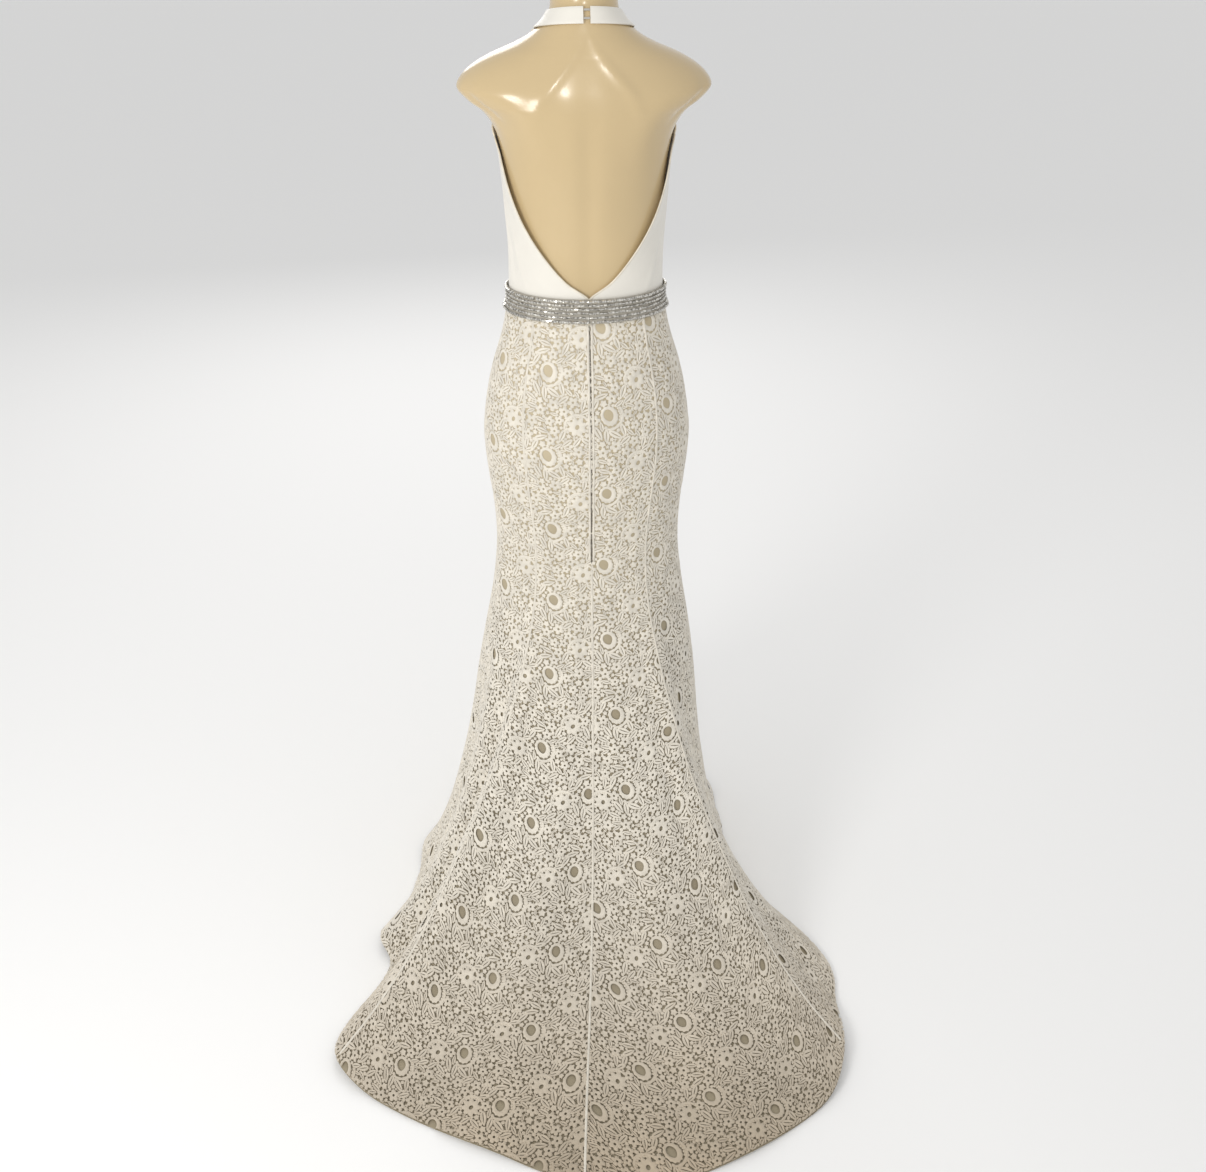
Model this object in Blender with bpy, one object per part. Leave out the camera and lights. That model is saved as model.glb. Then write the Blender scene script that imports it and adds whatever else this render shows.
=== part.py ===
"""Halter-neck mermaid gown of satin and lined lace, with a beaded waist belt and a short train, on a dress form.

Metres, +Z up. The origin is on the floor, under the middle of the form's pole. The gown's front faces -Y and its
train runs out along +Y, so the wearer's left is +X. Angles round the body start at the centre back (+Y) and grow
towards +X. The skirt is a surface of 17 rings from waist to hem, and the bodice a surface of sections from waist
to neck. Each panel of cloth is a wall between two distances out from its surface.
"""

import math
from collections import namedtuple

import bmesh
import bpy
import numpy as np
from mathutils import Matrix

# Driving dimensions

WAIST_HEIGHT = 1.068
SEAM_GAP = 0.0003
FLARE_SEAM_GAP = 0.0009
WAIST_GAP = 0.0012

LINING_INNER = 0.0
LINING_OUTER = 0.0010
LACE_INNER = LINING_OUTER + SEAM_GAP
LACE_OUTER = LACE_INNER + 0.0015
SATIN_INNER = 0.0005
SATIN_OUTER = 0.0017
BELT_INNER = LACE_OUTER + SEAM_GAP
BELT_OUTER = BELT_INNER + 0.0020
BELT_HEIGHT = 0.035
BELT_TOP = 1.086
BELT_FLARE = 1.6
BELT_LEAN = 0.04

BAND_INNER = 0.0
BAND_OUTER = 0.0022
BAND_BACK_GAP = 0.0092
HOOK_SIZE = (0.0026, 0.0010)
NECK_TILT = 0.013

ZIP_SLIT = 0.0020
ZIP_WIDTH = 0.0013
ZIP_INNER = LACE_INNER + 0.0003
ZIP_OUTER = LACE_INNER + 0.0011
ZIP_LAST_RING = 7

EYE_WIDTH = 0.017
EYE_HEIGHT = 0.020
EYE_SIDES = 6
EYE_SHARE = 0.34
EYE_MIDDLE_RING = 8
EYE_LOW_RING = 12

# How far the lace floats off the lining below the knee.
FLOAT_FIRST_RING = 7
FLOAT_LAST_RING = 11
LACE_FLOAT = 0.0022

LACE_CLEAR_OF_FLOOR = 0.0013

FORM_CLEARANCE_HIP = 0.0005
FORM_CLEARANCE_CHEST = 0.0030
FORM_CLEARANCE_ARMPIT = 0.0070
FORM_CLEARANCE_NECK = 0.0016
FORM_COLUMN_STEP = 2
POLE_RADIUS = 0.0125
BASE_RADIUS = 0.135
BASE_SEGMENTS = 48
BOSS_HEIGHT = 0.030

# The skirt's rings, from waist to hem. Each row has the ring's height and its distance from the axis at the
# centre front, the side and the centre back, and how far the ring follows the hem's own outline.
SkirtRing = namedtuple("SkirtRing", "front_z front side_z side back_z back spread")
SKIRT_RINGS = [
    SkirtRing(1.068, 0.0830, 1.068, 0.1150, 1.068, 0.0830, 0.00),
    SkirtRing(1.015, 0.0900, 1.015, 0.1255, 1.015, 0.0955, 0.00),
    SkirtRing(0.955, 0.0970, 0.955, 0.1440, 0.955, 0.1110, 0.00),
    SkirtRing(0.900, 0.1015, 0.900, 0.1555, 0.900, 0.1210, 0.00),
    SkirtRing(0.845, 0.1020, 0.845, 0.1610, 0.845, 0.1240, 0.00),
    SkirtRing(0.785, 0.0990, 0.785, 0.1570, 0.785, 0.1190, 0.00),
    SkirtRing(0.720, 0.0965, 0.720, 0.1498, 0.720, 0.1130, 0.00),
    SkirtRing(0.655, 0.0970, 0.655, 0.1482, 0.655, 0.1120, 0.00),
    SkirtRing(0.580, 0.1030, 0.580, 0.1560, 0.570, 0.1210, 0.00),
    SkirtRing(0.500, 0.1120, 0.500, 0.1690, 0.470, 0.1420, 0.02),
    SkirtRing(0.420, 0.1240, 0.420, 0.1800, 0.365, 0.1740, 0.05),
    SkirtRing(0.340, 0.1380, 0.340, 0.1880, 0.258, 0.2180, 0.10),
    SkirtRing(0.260, 0.1550, 0.258, 0.1980, 0.158, 0.2780, 0.20),
    SkirtRing(0.180, 0.1760, 0.176, 0.2130, 0.074, 0.3600, 0.34),
    SkirtRing(0.108, 0.2000, 0.104, 0.2280, 0.020, 0.4660, 0.54),
    SkirtRing(0.046, 0.2250, 0.044, 0.2460, 0.000, 0.5900, 0.76),
    SkirtRing(0.000, 0.2500, 0.000, 0.2680, 0.000, 0.7350, 1.00),
]
LAST_RING = len(SKIRT_RINGS) - 1

# How far the hem reaches from the axis, by the angle in degrees from the middle of the train, which lies a
# little to the wearer's left of the centre back.
HemReach = namedtuple("HemReach", "angle reach")
HEM_REACH = [
    HemReach(-180, 0.250),
    HemReach(-145, 0.258),
    HemReach(-120, 0.262),
    HemReach(-90, 0.252),
    HemReach(-80, 0.258),
    HemReach(-71, 0.280),
    HemReach(-61, 0.330),
    HemReach(-57, 0.390),
    HemReach(-54, 0.480),
    HemReach(-50, 0.545),
    HemReach(-44, 0.583),
    HemReach(-40, 0.636),
    HemReach(-36, 0.678),
    HemReach(-32, 0.711),
    HemReach(-26, 0.724),
    HemReach(-19, 0.741),
    HemReach(-8, 0.762),
    HemReach(2, 0.742),
    HemReach(10, 0.713),
    HemReach(20, 0.693),
    HemReach(30, 0.684),
    HemReach(36, 0.668),
    HemReach(39, 0.635),
    HemReach(41, 0.525),
    HemReach(45, 0.465),
    HemReach(52, 0.452),
    HemReach(56, 0.410),
    HemReach(62, 0.360),
    HemReach(73, 0.322),
    HemReach(90, 0.290),
    HemReach(120, 0.272),
    HemReach(145, 0.260),
    HemReach(180, 0.250),
]

# Soft ridges that fall from the knee to the hem, along the columns of the skirt's grid: the column and the half
# width in columns, the ring where each starts, and its height over the surface low down and at the hem.
Fold = namedtuple("Fold", "column half_width first_ring height hem_height")
FOLDS = [
    Fold(-23, 1.8, 8, 0.014, 0.022),
    Fold(-19, 1.8, 9, 0.016, 0.024),
    Fold(-13, 2.4, 7, 0.005, 0.005),
    Fold(-8, 1.9, 7, 0.026, 0.012),
    Fold(-4, 1.9, 10, 0.012, 0.005),
    Fold(3, 1.9, 10, 0.011, 0.006),
    Fold(8, 1.9, 7, 0.028, 0.012),
    Fold(12, 1.9, 7, 0.016, 0.014),
    Fold(16, 1.6, 8, 0.012, 0.014),
    Fold(19, 1.8, 9, 0.016, 0.024),
    Fold(23, 1.8, 8, 0.014, 0.022),
]
FOLD_PEAK_RING = 13

# Where the skirt's seams run, in degrees from the centre back, the same on both sides. The kick is a line inside
# the side back panel, where the hem turns out towards the train.
SeamAngles = namedtuple("SeamAngles", "ring back kick side front")
SEAMS = [
    SeamAngles(0, 52, 77, 92, 131),
    SeamAngles(4, 46, 74, 92, 134),
    SeamAngles(7, 44, 73, 91, 136),
    SeamAngles(11, 41, 66, 90, 137),
    SeamAngles(16, 37, 57, 88, 138),
]
BACK_COLUMNS = 8
SIDE_BACK_COLUMNS = 8
KICK_COLUMNS = 5
SIDE_FRONT_COLUMNS = 4
HALF_FRONT_COLUMNS = 5
BACK_SEAM = BACK_COLUMNS
SIDE_SEAM = BACK_SEAM + SIDE_BACK_COLUMNS
FRONT_SEAM = SIDE_SEAM + SIDE_FRONT_COLUMNS
ALL_COLUMNS = 2 * (FRONT_SEAM + HALF_FRONT_COLUMNS)

# The bodice's sections from waist to neck: height, distance from the axis at the side, front and back, the angle
# in degrees where the satin ends, and how far the section tips forward with the neck.
Section = namedtuple("Section", "z side front back edge tilt")
TORSO = [
    Section(1.068, 0.1150, 0.0830, 0.0830, 0.0, 0.0),
    Section(1.086, 0.1146, 0.0840, 0.0825, 1.0, 0.0),
    Section(1.110, 0.1140, 0.0860, 0.0820, 18.0, 0.0),
    Section(1.150, 0.1140, 0.0960, 0.0850, 36.0, 0.0),
    Section(1.190, 0.1165, 0.1080, 0.0900, 50.0, 0.0),
    Section(1.230, 0.1190, 0.1140, 0.0950, 62.0, 0.0),
    Section(1.265, 0.1220, 0.1120, 0.0990, 72.0, 0.0),
    Section(1.290, 0.1255, 0.1050, 0.1010, 81.0, 0.0),
    Section(1.308, 0.1300, 0.0980, 0.1015, 94.0, 0.0),
    Section(1.324, 0.1385, 0.0910, 0.1010, 120.0, 0.0),
    Section(1.336, 0.1495, 0.0870, 0.1005, 135.0, 0.0),
    Section(1.349, 0.1675, 0.0820, 0.0995, 145.5, 0.0),
    Section(1.368, 0.1820, 0.0740, 0.0960, 150.0, 0.0),
    Section(1.390, 0.1690, 0.0640, 0.0900, 150.0, 0.0),
    Section(1.410, 0.1385, 0.0540, 0.0830, 145.5, 0.2),
    Section(1.428, 0.0930, 0.0460, 0.0745, 128.0, 0.6),
    Section(1.4415, 0.0690, 0.0420, 0.0690, 101.0, 1.0),
    Section(1.455, 0.0550, 0.0390, 0.0650, 101.0, 1.0),
    Section(1.470, 0.0485, 0.0370, 0.0610, 101.0, 0.8),
    Section(1.500, 0.0475, 0.0360, 0.0600, 101.0, 0.0),
]
SIDE_SEAM_ANGLE = 90.0
BACK_PIECE_TOP_ROW = 7.5
NECK_SEAM_ROW = 16
BAND_TOP_ROW = 17.6
BUST_HEIGHT = 1.240
BUST_SPACING = 0.064
BUST_RISE = 0.016
BUST_WIDTH = 0.044
BUST_TALLNESS = 0.048

# The rounded ends of the form: height above or below its last section, and the share of that section's size.
FormEnd = namedtuple("FormEnd", "beyond share")
FORM_ENDS = [FormEnd(0.008, 0.97), FormEnd(0.016, 0.88), FormEnd(0.021, 0.70)]
FORM_LAST_RING = 7
NECK_ENDS = [FormEnd(0.006, 0.96), FormEnd(0.010, 0.86)]

BASE_PROFILE = [
    (BASE_RADIUS, 0.0),
    (BASE_RADIUS, 0.006),
    (BASE_RADIUS - 0.006, 0.010),
    (0.034, 0.013),
    (0.021, 0.018),
    (0.019, BOSS_HEIGHT),
]

HEM_ROUNDING = 4
TRAIN_SWAY = 4
ANGLE_STEP = 0.5
COLUMN_STEP = 0.1
ROW_STEP = 0.02


# Tables read at any row


def smooth_column(rows, name, position):
    """A table's column as a smooth curve through its rows, read at a fractional row."""
    values = np.array([getattr(row, name) for row in rows], float)
    first = 2 * values[0] - values[1]
    last = 2 * values[-1] - values[-2]
    padded = np.concatenate([[first], values, [last]])
    row = np.clip(np.floor(position).astype(int), 0, len(values) - 2)
    t = position - row
    before, start, end, after = (padded[row + i] for i in range(4))
    bend = 2 * before - 5 * start + 4 * end - after
    twist = 3 * (start - end) + after - before
    return start + 0.5 * t * ((end - before) + t * (bend + t * twist))


def hem_reach(angle):
    """The hem's distance from the axis at an angle in degrees, with the table's corners rounded."""
    angles = [row.angle for row in HEM_REACH]
    reaches = [row.reach for row in HEM_REACH]
    shifts = np.arange(-HEM_ROUNDING, HEM_ROUNDING + 0.1, 0.5)
    shares = 1 + np.cos(math.pi * shifts / (HEM_ROUNDING + 0.5))
    turned = (np.asarray(angle)[..., None] + shifts + 180) % 360 - 180
    return np.interp(turned, angles, reaches) @ (shares / shares.sum())


def between(share, low, high):
    return low + (high - low) * share


def soft_step(value):
    value = np.clip(value, 0, 1)
    return value * value * (3 - 2 * value)


def fold_height(column, ring):
    """How far the folds stand out of the skirt's surface."""
    total = 0.0
    for fold in FOLDS:
        away = (column - fold.column + ALL_COLUMNS / 2) % ALL_COLUMNS - ALL_COLUMNS / 2
        across = 0.5 + 0.5 * np.cos(math.pi * np.minimum(np.abs(away) / fold.half_width, 1))
        grown = soft_step((ring - fold.first_ring) / (FOLD_PEAK_RING - fold.first_ring))
        below = np.clip((ring - FOLD_PEAK_RING) / (LAST_RING - FOLD_PEAK_RING), 0, 1)
        total = total + across * grown * between(below, fold.height, fold.hem_height)
    return total


# The skirt's surface


def column_angle(column, ring):
    """The angle in degrees of a column of the skirt's grid, which bends with the seams."""
    rings = [row.ring for row in SEAMS]
    back, kick, side, front = (
        np.interp(ring, rings, [getattr(row, name) for row in SEAMS])
        for name in ("back", "kick", "side", "front")
    )
    knots = [0, BACK_SEAM, BACK_SEAM + KICK_COLUMNS, SIDE_SEAM, FRONT_SEAM, ALL_COLUMNS / 2]
    angles = [0 * back, back, kick, side, front, 180 + 0 * back]
    turned = (column + ALL_COLUMNS / 2) % ALL_COLUMNS - ALL_COLUMNS / 2
    near = np.abs(turned)
    angle = np.zeros_like(near, float)
    for start, end, low, high in zip(knots, knots[1:], angles, angles[1:]):
        share = (near - start) / (end - start)
        angle = np.where((near >= start) & (near <= end), between(share, low, high), angle)
    sway = TRAIN_SWAY * soft_step((ring - FLOAT_FIRST_RING) / (LAST_RING - FLOAT_FIRST_RING))
    return np.where(turned < 0, -angle, angle) + sway * (1 - near / (ALL_COLUMNS / 2))


def half_ellipses(angle, side, front, back):
    """The distance from the axis to an outline of two half ellipses, at a polar angle in radians."""
    depth = np.where(np.cos(angle) > 0, back, front)
    return 1 / np.hypot(np.sin(angle) / side, np.cos(angle) / depth)


def skirt_base(column, ring):
    """A point of the skirt's surface without its folds."""
    angle = column_angle(column, ring)
    turn = np.radians(angle)
    side = smooth_column(SKIRT_RINGS, "side", ring)
    front = smooth_column(SKIRT_RINGS, "front", ring)
    back = smooth_column(SKIRT_RINGS, "back", ring)
    hem = SKIRT_RINGS[-1]
    spread = smooth_column(SKIRT_RINGS, "spread", ring)
    further = hem_reach(angle - TRAIN_SWAY) - half_ellipses(turn, hem.side, hem.front, hem.back)
    reach = half_ellipses(turn, side, front, back) + spread * further
    end_z = np.where(
        np.cos(turn) > 0,
        smooth_column(SKIRT_RINGS, "back_z", ring),
        smooth_column(SKIRT_RINGS, "front_z", ring),
    )
    side_z = smooth_column(SKIRT_RINGS, "side_z", ring)
    height = np.maximum(side_z + (end_z - side_z) * np.cos(turn) ** 2, 0)
    return np.stack([reach * np.sin(turn), reach * np.cos(turn), height], -1)


def cell_width(column, ring):
    """The real distance between two columns of the skirt's grid."""
    across = skirt_base(column + 0.5, ring) - skirt_base(column - 0.5, ring)
    return np.linalg.norm(across, axis=-1)


def outward(surface, across, along, step, flip=1):
    """The unit normal of a surface, from its slopes across and along."""
    slope_across = surface(across + step, along) - surface(across - step, along)
    slope_along = surface(across, along + ROW_STEP) - surface(across, along - ROW_STEP)
    normal = flip * np.cross(slope_across, slope_along)
    return normal / np.linalg.norm(normal, axis=-1, keepdims=True)


def off_ends(ring):
    """A ring kept just inside the skirt's ends, where its normal is measured."""
    return np.clip(ring, ROW_STEP, LAST_RING - ROW_STEP)


def skirt_folded(column, ring):
    normal = outward(skirt_base, column, off_ends(ring), COLUMN_STEP)
    return skirt_base(column, ring) + fold_height(column, ring)[..., None] * normal


def skirt_point(column, ring, distance):
    """A point of the folded skirt, moved out by a distance."""
    normal = outward(skirt_folded, column, off_ends(ring), COLUMN_STEP)
    return skirt_folded(column, ring) + distance[..., None] * normal


# The bodice's surface


def torso_base(angle, row):
    """A point of the bodice's surface, at an ellipse's own angle in degrees."""
    turn = np.radians(angle)
    side = smooth_column(TORSO, "side", row)
    front = smooth_column(TORSO, "front", row)
    back = smooth_column(TORSO, "back", row)
    height = smooth_column(TORSO, "z", row)
    height = height + NECK_TILT * smooth_column(TORSO, "tilt", row) * np.cos(turn)
    depth = np.where(np.cos(turn) > 0, back, front)
    x = side * np.sin(turn)
    y = depth * np.cos(turn)
    near_bust = ((np.abs(x) - BUST_SPACING) / BUST_WIDTH) ** 2
    near_bust = near_bust + ((height - BUST_HEIGHT) / BUST_TALLNESS) ** 2
    rise = BUST_RISE * np.exp(-near_bust) * soft_step(-3 * np.cos(turn))
    return np.stack([x, y - rise, height], -1)


def torso_point(angle, row, distance):
    """A point of the bodice's surface, moved out by a distance."""
    normal = outward(torso_base, angle, row, ANGLE_STEP, flip=-1)
    return torso_base(angle, row) + distance[..., None] * normal


# Walls of cloth


def grid(columns, rows):
    """A flat grid of unit cells, with x from 0 to columns and y from 0 to rows."""
    bm = bmesh.new()
    bmesh.ops.create_grid(bm, x_segments=columns, y_segments=rows, size=0.5)
    for vert in bm.verts:
        vert.co.x = round((vert.co.x + 0.5) * columns)
        vert.co.y = round((vert.co.y + 0.5) * rows)
    return bm


def cut_eye(bm, face, half_width, half_height):
    """Replaces one cell of a flat grid by a frame of faces round an eye-shaped hole."""
    outline = list(face.edges)
    centre = face.calc_center_median()
    bmesh.ops.delete(bm, geom=[face], context="FACES_ONLY")
    place = Matrix.Translation(centre) @ Matrix.Diagonal((half_width, half_height, 1, 1))
    eye = bmesh.ops.create_circle(bm, segments=EYE_SIDES, radius=1, matrix=place)
    inner = {edge for vert in eye["verts"] for edge in vert.link_edges}
    bmesh.ops.bridge_loops(bm, edges=outline + list(inner))


def thicken(bm):
    """Turns a flat sheet at z = 0 into a closed slab that reaches z = 1, with every cell split the same way."""
    bmesh.ops.triangulate(bm, faces=bm.faces[:], quad_method="FIXED")
    made = bmesh.ops.extrude_face_region(bm, geom=bm.faces[:])
    for item in made["geom"]:
        if isinstance(item, bmesh.types.BMVert):
            item.co.z = 1


def place(bm, where):
    """Moves every vertex to where(x, y, z), worked out for all of them at once."""
    flat = np.array([vert.co for vert in bm.verts], float)
    for vert, point in zip(bm.verts, where(flat[:, 0], flat[:, 1], flat[:, 2])):
        vert.co = point


def finish(bm, name, material):
    """Makes a named object of a closed mesh, smooth apart from its edges."""
    bmesh.ops.recalc_face_normals(bm, faces=bm.faces)
    if bm.calc_volume(signed=True) < 0:
        bmesh.ops.reverse_faces(bm, faces=bm.faces)
    mesh = bpy.data.meshes.new(name)
    bm.to_mesh(mesh)
    bm.free()
    mesh.shade_smooth()
    mesh.set_sharp_from_angle(angle=math.radians(50))
    mesh.materials.append(material)
    made = bpy.data.objects.new(name, mesh)
    bpy.context.scene.collection.objects.link(made)
    return made


def seam_allowance(ring, at_zip):
    """Half the gap that a panel leaves at its edge, which is wider beside the zip."""
    below_knee = soft_step((ring - FLOAT_FIRST_RING) / (FLOAT_LAST_RING - FLOAT_FIRST_RING))
    gap = SEAM_GAP + (FLARE_SEAM_GAP - SEAM_GAP) * below_knee
    if at_zip:
        gap = np.where(ring <= ZIP_LAST_RING, ZIP_SLIT, gap)
    return gap / 2


def skirt_wall(name, material, first, last, inner, outer, eyes=False):
    """A panel of the skirt between two columns, as a wall from inner to outer, with eyes cut through lace."""
    bm = grid(last - first, LAST_RING)
    if eyes:
        for face in bm.faces[:]:
            centre = face.calc_center_median()
            column, ring = int(centre.x) + first, int(centre.y)
            if has_eye(column, ring):
                cut_eye(bm, face, *eye_share(column + 0.5, ring + 0.5))
    thicken(bm)
    floats = LACE_FLOAT if eyes else 0.0

    def corner(x, y, z):
        column = x + first
        width = cell_width(column, y)
        at_start = seam_allowance(y, eyes and first == 0) / width
        at_end = seam_allowance(y, eyes and last == ALL_COLUMNS) / width
        column = column + np.where(x == 0, at_start, 0) - np.where(x == last - first, at_end, 0)
        lift = floats * soft_step((y - FLOAT_FIRST_RING) / (FLOAT_LAST_RING - FLOAT_FIRST_RING))
        points = skirt_point(column, y, between(z, inner, outer) + lift)
        if eyes:
            points[..., 2] = np.maximum(points[..., 2], LACE_CLEAR_OF_FLOOR * (1 + z))
        return points

    place(bm, lambda x, y, z: within_cells(corner, x, y, z, last - first))
    return finish(bm, name, material)


def within_cells(corner, x, y, z, columns):
    """Points in the flat of their cell's two triangles, so that an eye lies parallel to the lining under it."""
    left = np.minimum(np.floor(x), columns - 1)
    low = np.minimum(np.floor(y), LAST_RING - 1)
    across, up = (x - left)[:, None], (y - low)[:, None]
    start, right = corner(left, low, z), corner(left + 1, low, z)
    above, opposite = corner(left, low + 1, z), corner(left + 1, low + 1, z)
    under = start + across * (right - start) + up * (opposite - right)
    over = start + up * (above - start) + across * (opposite - above)
    return np.where(across >= up, under, over)


def has_eye(column, ring):
    """Which cells of the lace hold one of its large eyes: more of them low down, where cells are larger."""
    pitch = 6 if ring < EYE_MIDDLE_RING else 4 if ring < EYE_LOW_RING else 3
    return (column + 2 * ring) % pitch == 0


def eye_share(column, ring):
    """Half the width and half the height of an eye, as shares of its cell."""
    column, ring = np.array([column]), np.array([ring])
    height = np.linalg.norm(skirt_base(column, ring + 0.5) - skirt_base(column, ring - 0.5))
    width = cell_width(column, ring)[0]
    return min(EYE_WIDTH / 2 / width, EYE_SHARE), min(EYE_HEIGHT / 2 / height, EYE_SHARE)


# The skirt's pieces


def make_lining(material):
    skirt_wall("lining_back_left", material, 0, SIDE_SEAM, LINING_INNER, LINING_OUTER)
    skirt_wall("lining_front", material, SIDE_SEAM, ALL_COLUMNS - SIDE_SEAM, LINING_INNER, LINING_OUTER)
    skirt_wall("lining_back_right", material, ALL_COLUMNS - SIDE_SEAM, ALL_COLUMNS, LINING_INNER, LINING_OUTER)


def make_lace(material):
    seams = [0, BACK_SEAM, SIDE_SEAM, FRONT_SEAM]
    names = ["lace_back", "lace_side_back", "lace_side_front"]
    for name, first, last in zip(names, seams, seams[1:]):
        skirt_wall(f"{name}_left", material, first, last, LACE_INNER, LACE_OUTER, eyes=True)
        first, last = ALL_COLUMNS - last, ALL_COLUMNS - first
        skirt_wall(f"{name}_right", material, first, last, LACE_INNER, LACE_OUTER, eyes=True)
    first, last = FRONT_SEAM, ALL_COLUMNS - FRONT_SEAM
    skirt_wall("lace_front", material, first, last, LACE_INNER, LACE_OUTER, eyes=True)


def make_zip(material):
    """The closed coil of the concealed zip, which lies in the slit between the two back panels."""
    bm = grid(1, ZIP_LAST_RING)
    thicken(bm)

    def where(x, y, z):
        ring = np.minimum(y, ZIP_LAST_RING - 0.1)
        column = (x - 0.5) * ZIP_WIDTH / cell_width(0 * ring, ring)
        return skirt_point(column, ring, between(z, ZIP_INNER, ZIP_OUTER))

    place(bm, where)
    return finish(bm, "centre_back_zip", material)


# The bodice's pieces


def edge_angle(row):
    return smooth_column(TORSO, "edge", row)


def make_bodice_front(material):
    """The halter front, from side seam to side seam, cut away at the armholes and up to the neck seam."""
    columns, rows = 16, NECK_SEAM_ROW
    bm = grid(columns, rows)
    thicken(bm)

    def where(x, y, z):
        gap = np.degrees(SEAM_GAP / 2 / TORSO[0].side)
        edge = np.maximum(edge_angle(y), SIDE_SEAM_ANGLE + gap)
        angle = between(x / columns, edge, 360 - edge)
        low = WAIST_GAP / (TORSO[1].z - TORSO[0].z)
        row = between(y / rows, low, rows - 0.02)
        return torso_point(angle, row, between(z, SATIN_INNER, SATIN_OUTER))

    place(bm, where)
    return finish(bm, "bodice_front", material)


def make_bodice_back(name, side, material):
    """One half of the low back, from the side seam to the edge of the deep V."""
    columns, rows = 6, 10
    bm = grid(columns, rows)
    thicken(bm)

    def where(x, y, z):
        gap = np.degrees(SEAM_GAP / 2 / TORSO[0].side)
        low = WAIST_GAP / (TORSO[1].z - TORSO[0].z)
        row = between(y / rows, low, BACK_PIECE_TOP_ROW)
        edge = np.maximum(edge_angle(row), gap)
        angle = between(x / columns, edge, SIDE_SEAM_ANGLE - gap)
        return torso_point(side * angle, row, between(z, SATIN_INNER, SATIN_OUTER))

    place(bm, where)
    return finish(bm, name, material)


def make_neck_band(material):
    """The standing band round the neck, open at the centre back."""
    columns = 24
    rows = np.array([NECK_SEAM_ROW + 0.005, NECK_SEAM_ROW + 1, BAND_TOP_ROW])
    bm = grid(columns, len(rows) - 1)
    thicken(bm)

    def where(x, y, z):
        row = rows[y.astype(int)]
        gap = np.degrees(BAND_BACK_GAP / 2 / smooth_column(TORSO, "side", row))
        angle = between(x / columns, gap, 360 - gap)
        return torso_point(angle, row, between(z, BAND_INNER, BAND_OUTER))

    place(bm, where)
    return finish(bm, "neck_band", material)


def make_hook(name, row, material):
    """A hook fastened to its eye, as a small flat bar across the gap at the back of the neck."""
    bm = bmesh.new()
    bmesh.ops.create_cube(bm, size=1)
    height, thickness = HOOK_SIZE
    middle = torso_point(np.zeros(1), np.full(1, row), np.full(1, BAND_INNER + BAND_OUTER / 2))[0]
    size = Matrix.Diagonal((BAND_BACK_GAP - 4 * SEAM_GAP, thickness, height, 1))
    bmesh.ops.transform(bm, matrix=Matrix.Translation(middle) @ size, verts=bm.verts)
    return finish(bm, name, material)


def make_belt(material):
    """The beaded belt's band, which covers the waist seam and opens at the centre back."""
    rows = 2
    bm = grid(ALL_COLUMNS, rows)
    thicken(bm)
    levels = np.array([BELT_TOP, WAIST_HEIGHT, BELT_TOP - BELT_HEIGHT])

    def where(x, y, z):
        level = levels[y.astype(int)]
        gap = SEAM_GAP / cell_width(0 * x, 0 * x)
        column = x + np.where(x == 0, gap, 0) - np.where(x == ALL_COLUMNS, gap, 0)
        waist = skirt_base(column, 0 * x)
        flare = (SKIRT_RINGS[1].side - SKIRT_RINGS[0].side) / (SKIRT_RINGS[0].side_z - SKIRT_RINGS[1].side_z)
        below, above = np.maximum(WAIST_HEIGHT - level, 0), np.maximum(level - WAIST_HEIGHT, 0)
        normal = outward(skirt_base, column, off_ends(0 * x), COLUMN_STEP)
        normal[..., 2] = 0
        normal = normal / np.linalg.norm(normal, axis=-1, keepdims=True)
        distance = between(z, BELT_INNER, BELT_OUTER) + below * flare * BELT_FLARE + above * BELT_LEAN
        points = waist + distance[..., None] * normal
        points[..., 2] = level
        return points

    place(bm, where)
    return finish(bm, "waist_belt", material)


# The dress form and its stand


def form_clearance(angle, row):
    """How far inside the bodice's surface the form stays, which is more behind the front's armhole edges."""
    chest, armpit = FORM_CLEARANCE_CHEST, FORM_CLEARANCE_ARMPIT
    rows = [0, 2, NECK_SEAM_ROW - 2, NECK_SEAM_ROW - 1]
    everywhere = np.interp(row, rows, [FORM_CLEARANCE_HIP, chest, chest, FORM_CLEARANCE_NECK])
    near_armpit = np.interp(row, [6, 8, 12, 14], [0, armpit - chest, armpit - chest, 0])
    return everywhere + near_armpit * soft_step(-3 * np.cos(np.radians(angle)))


def ellipse_angle(angle):
    """The waist ellipse's own angle for a polar angle, both in degrees."""
    turn = np.radians(angle)
    depth = np.where(np.cos(turn) > 0, TORSO[0].back, TORSO[0].front)
    return np.degrees(np.arctan2(np.sin(turn) / TORSO[0].side, np.cos(turn) / depth))


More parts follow.
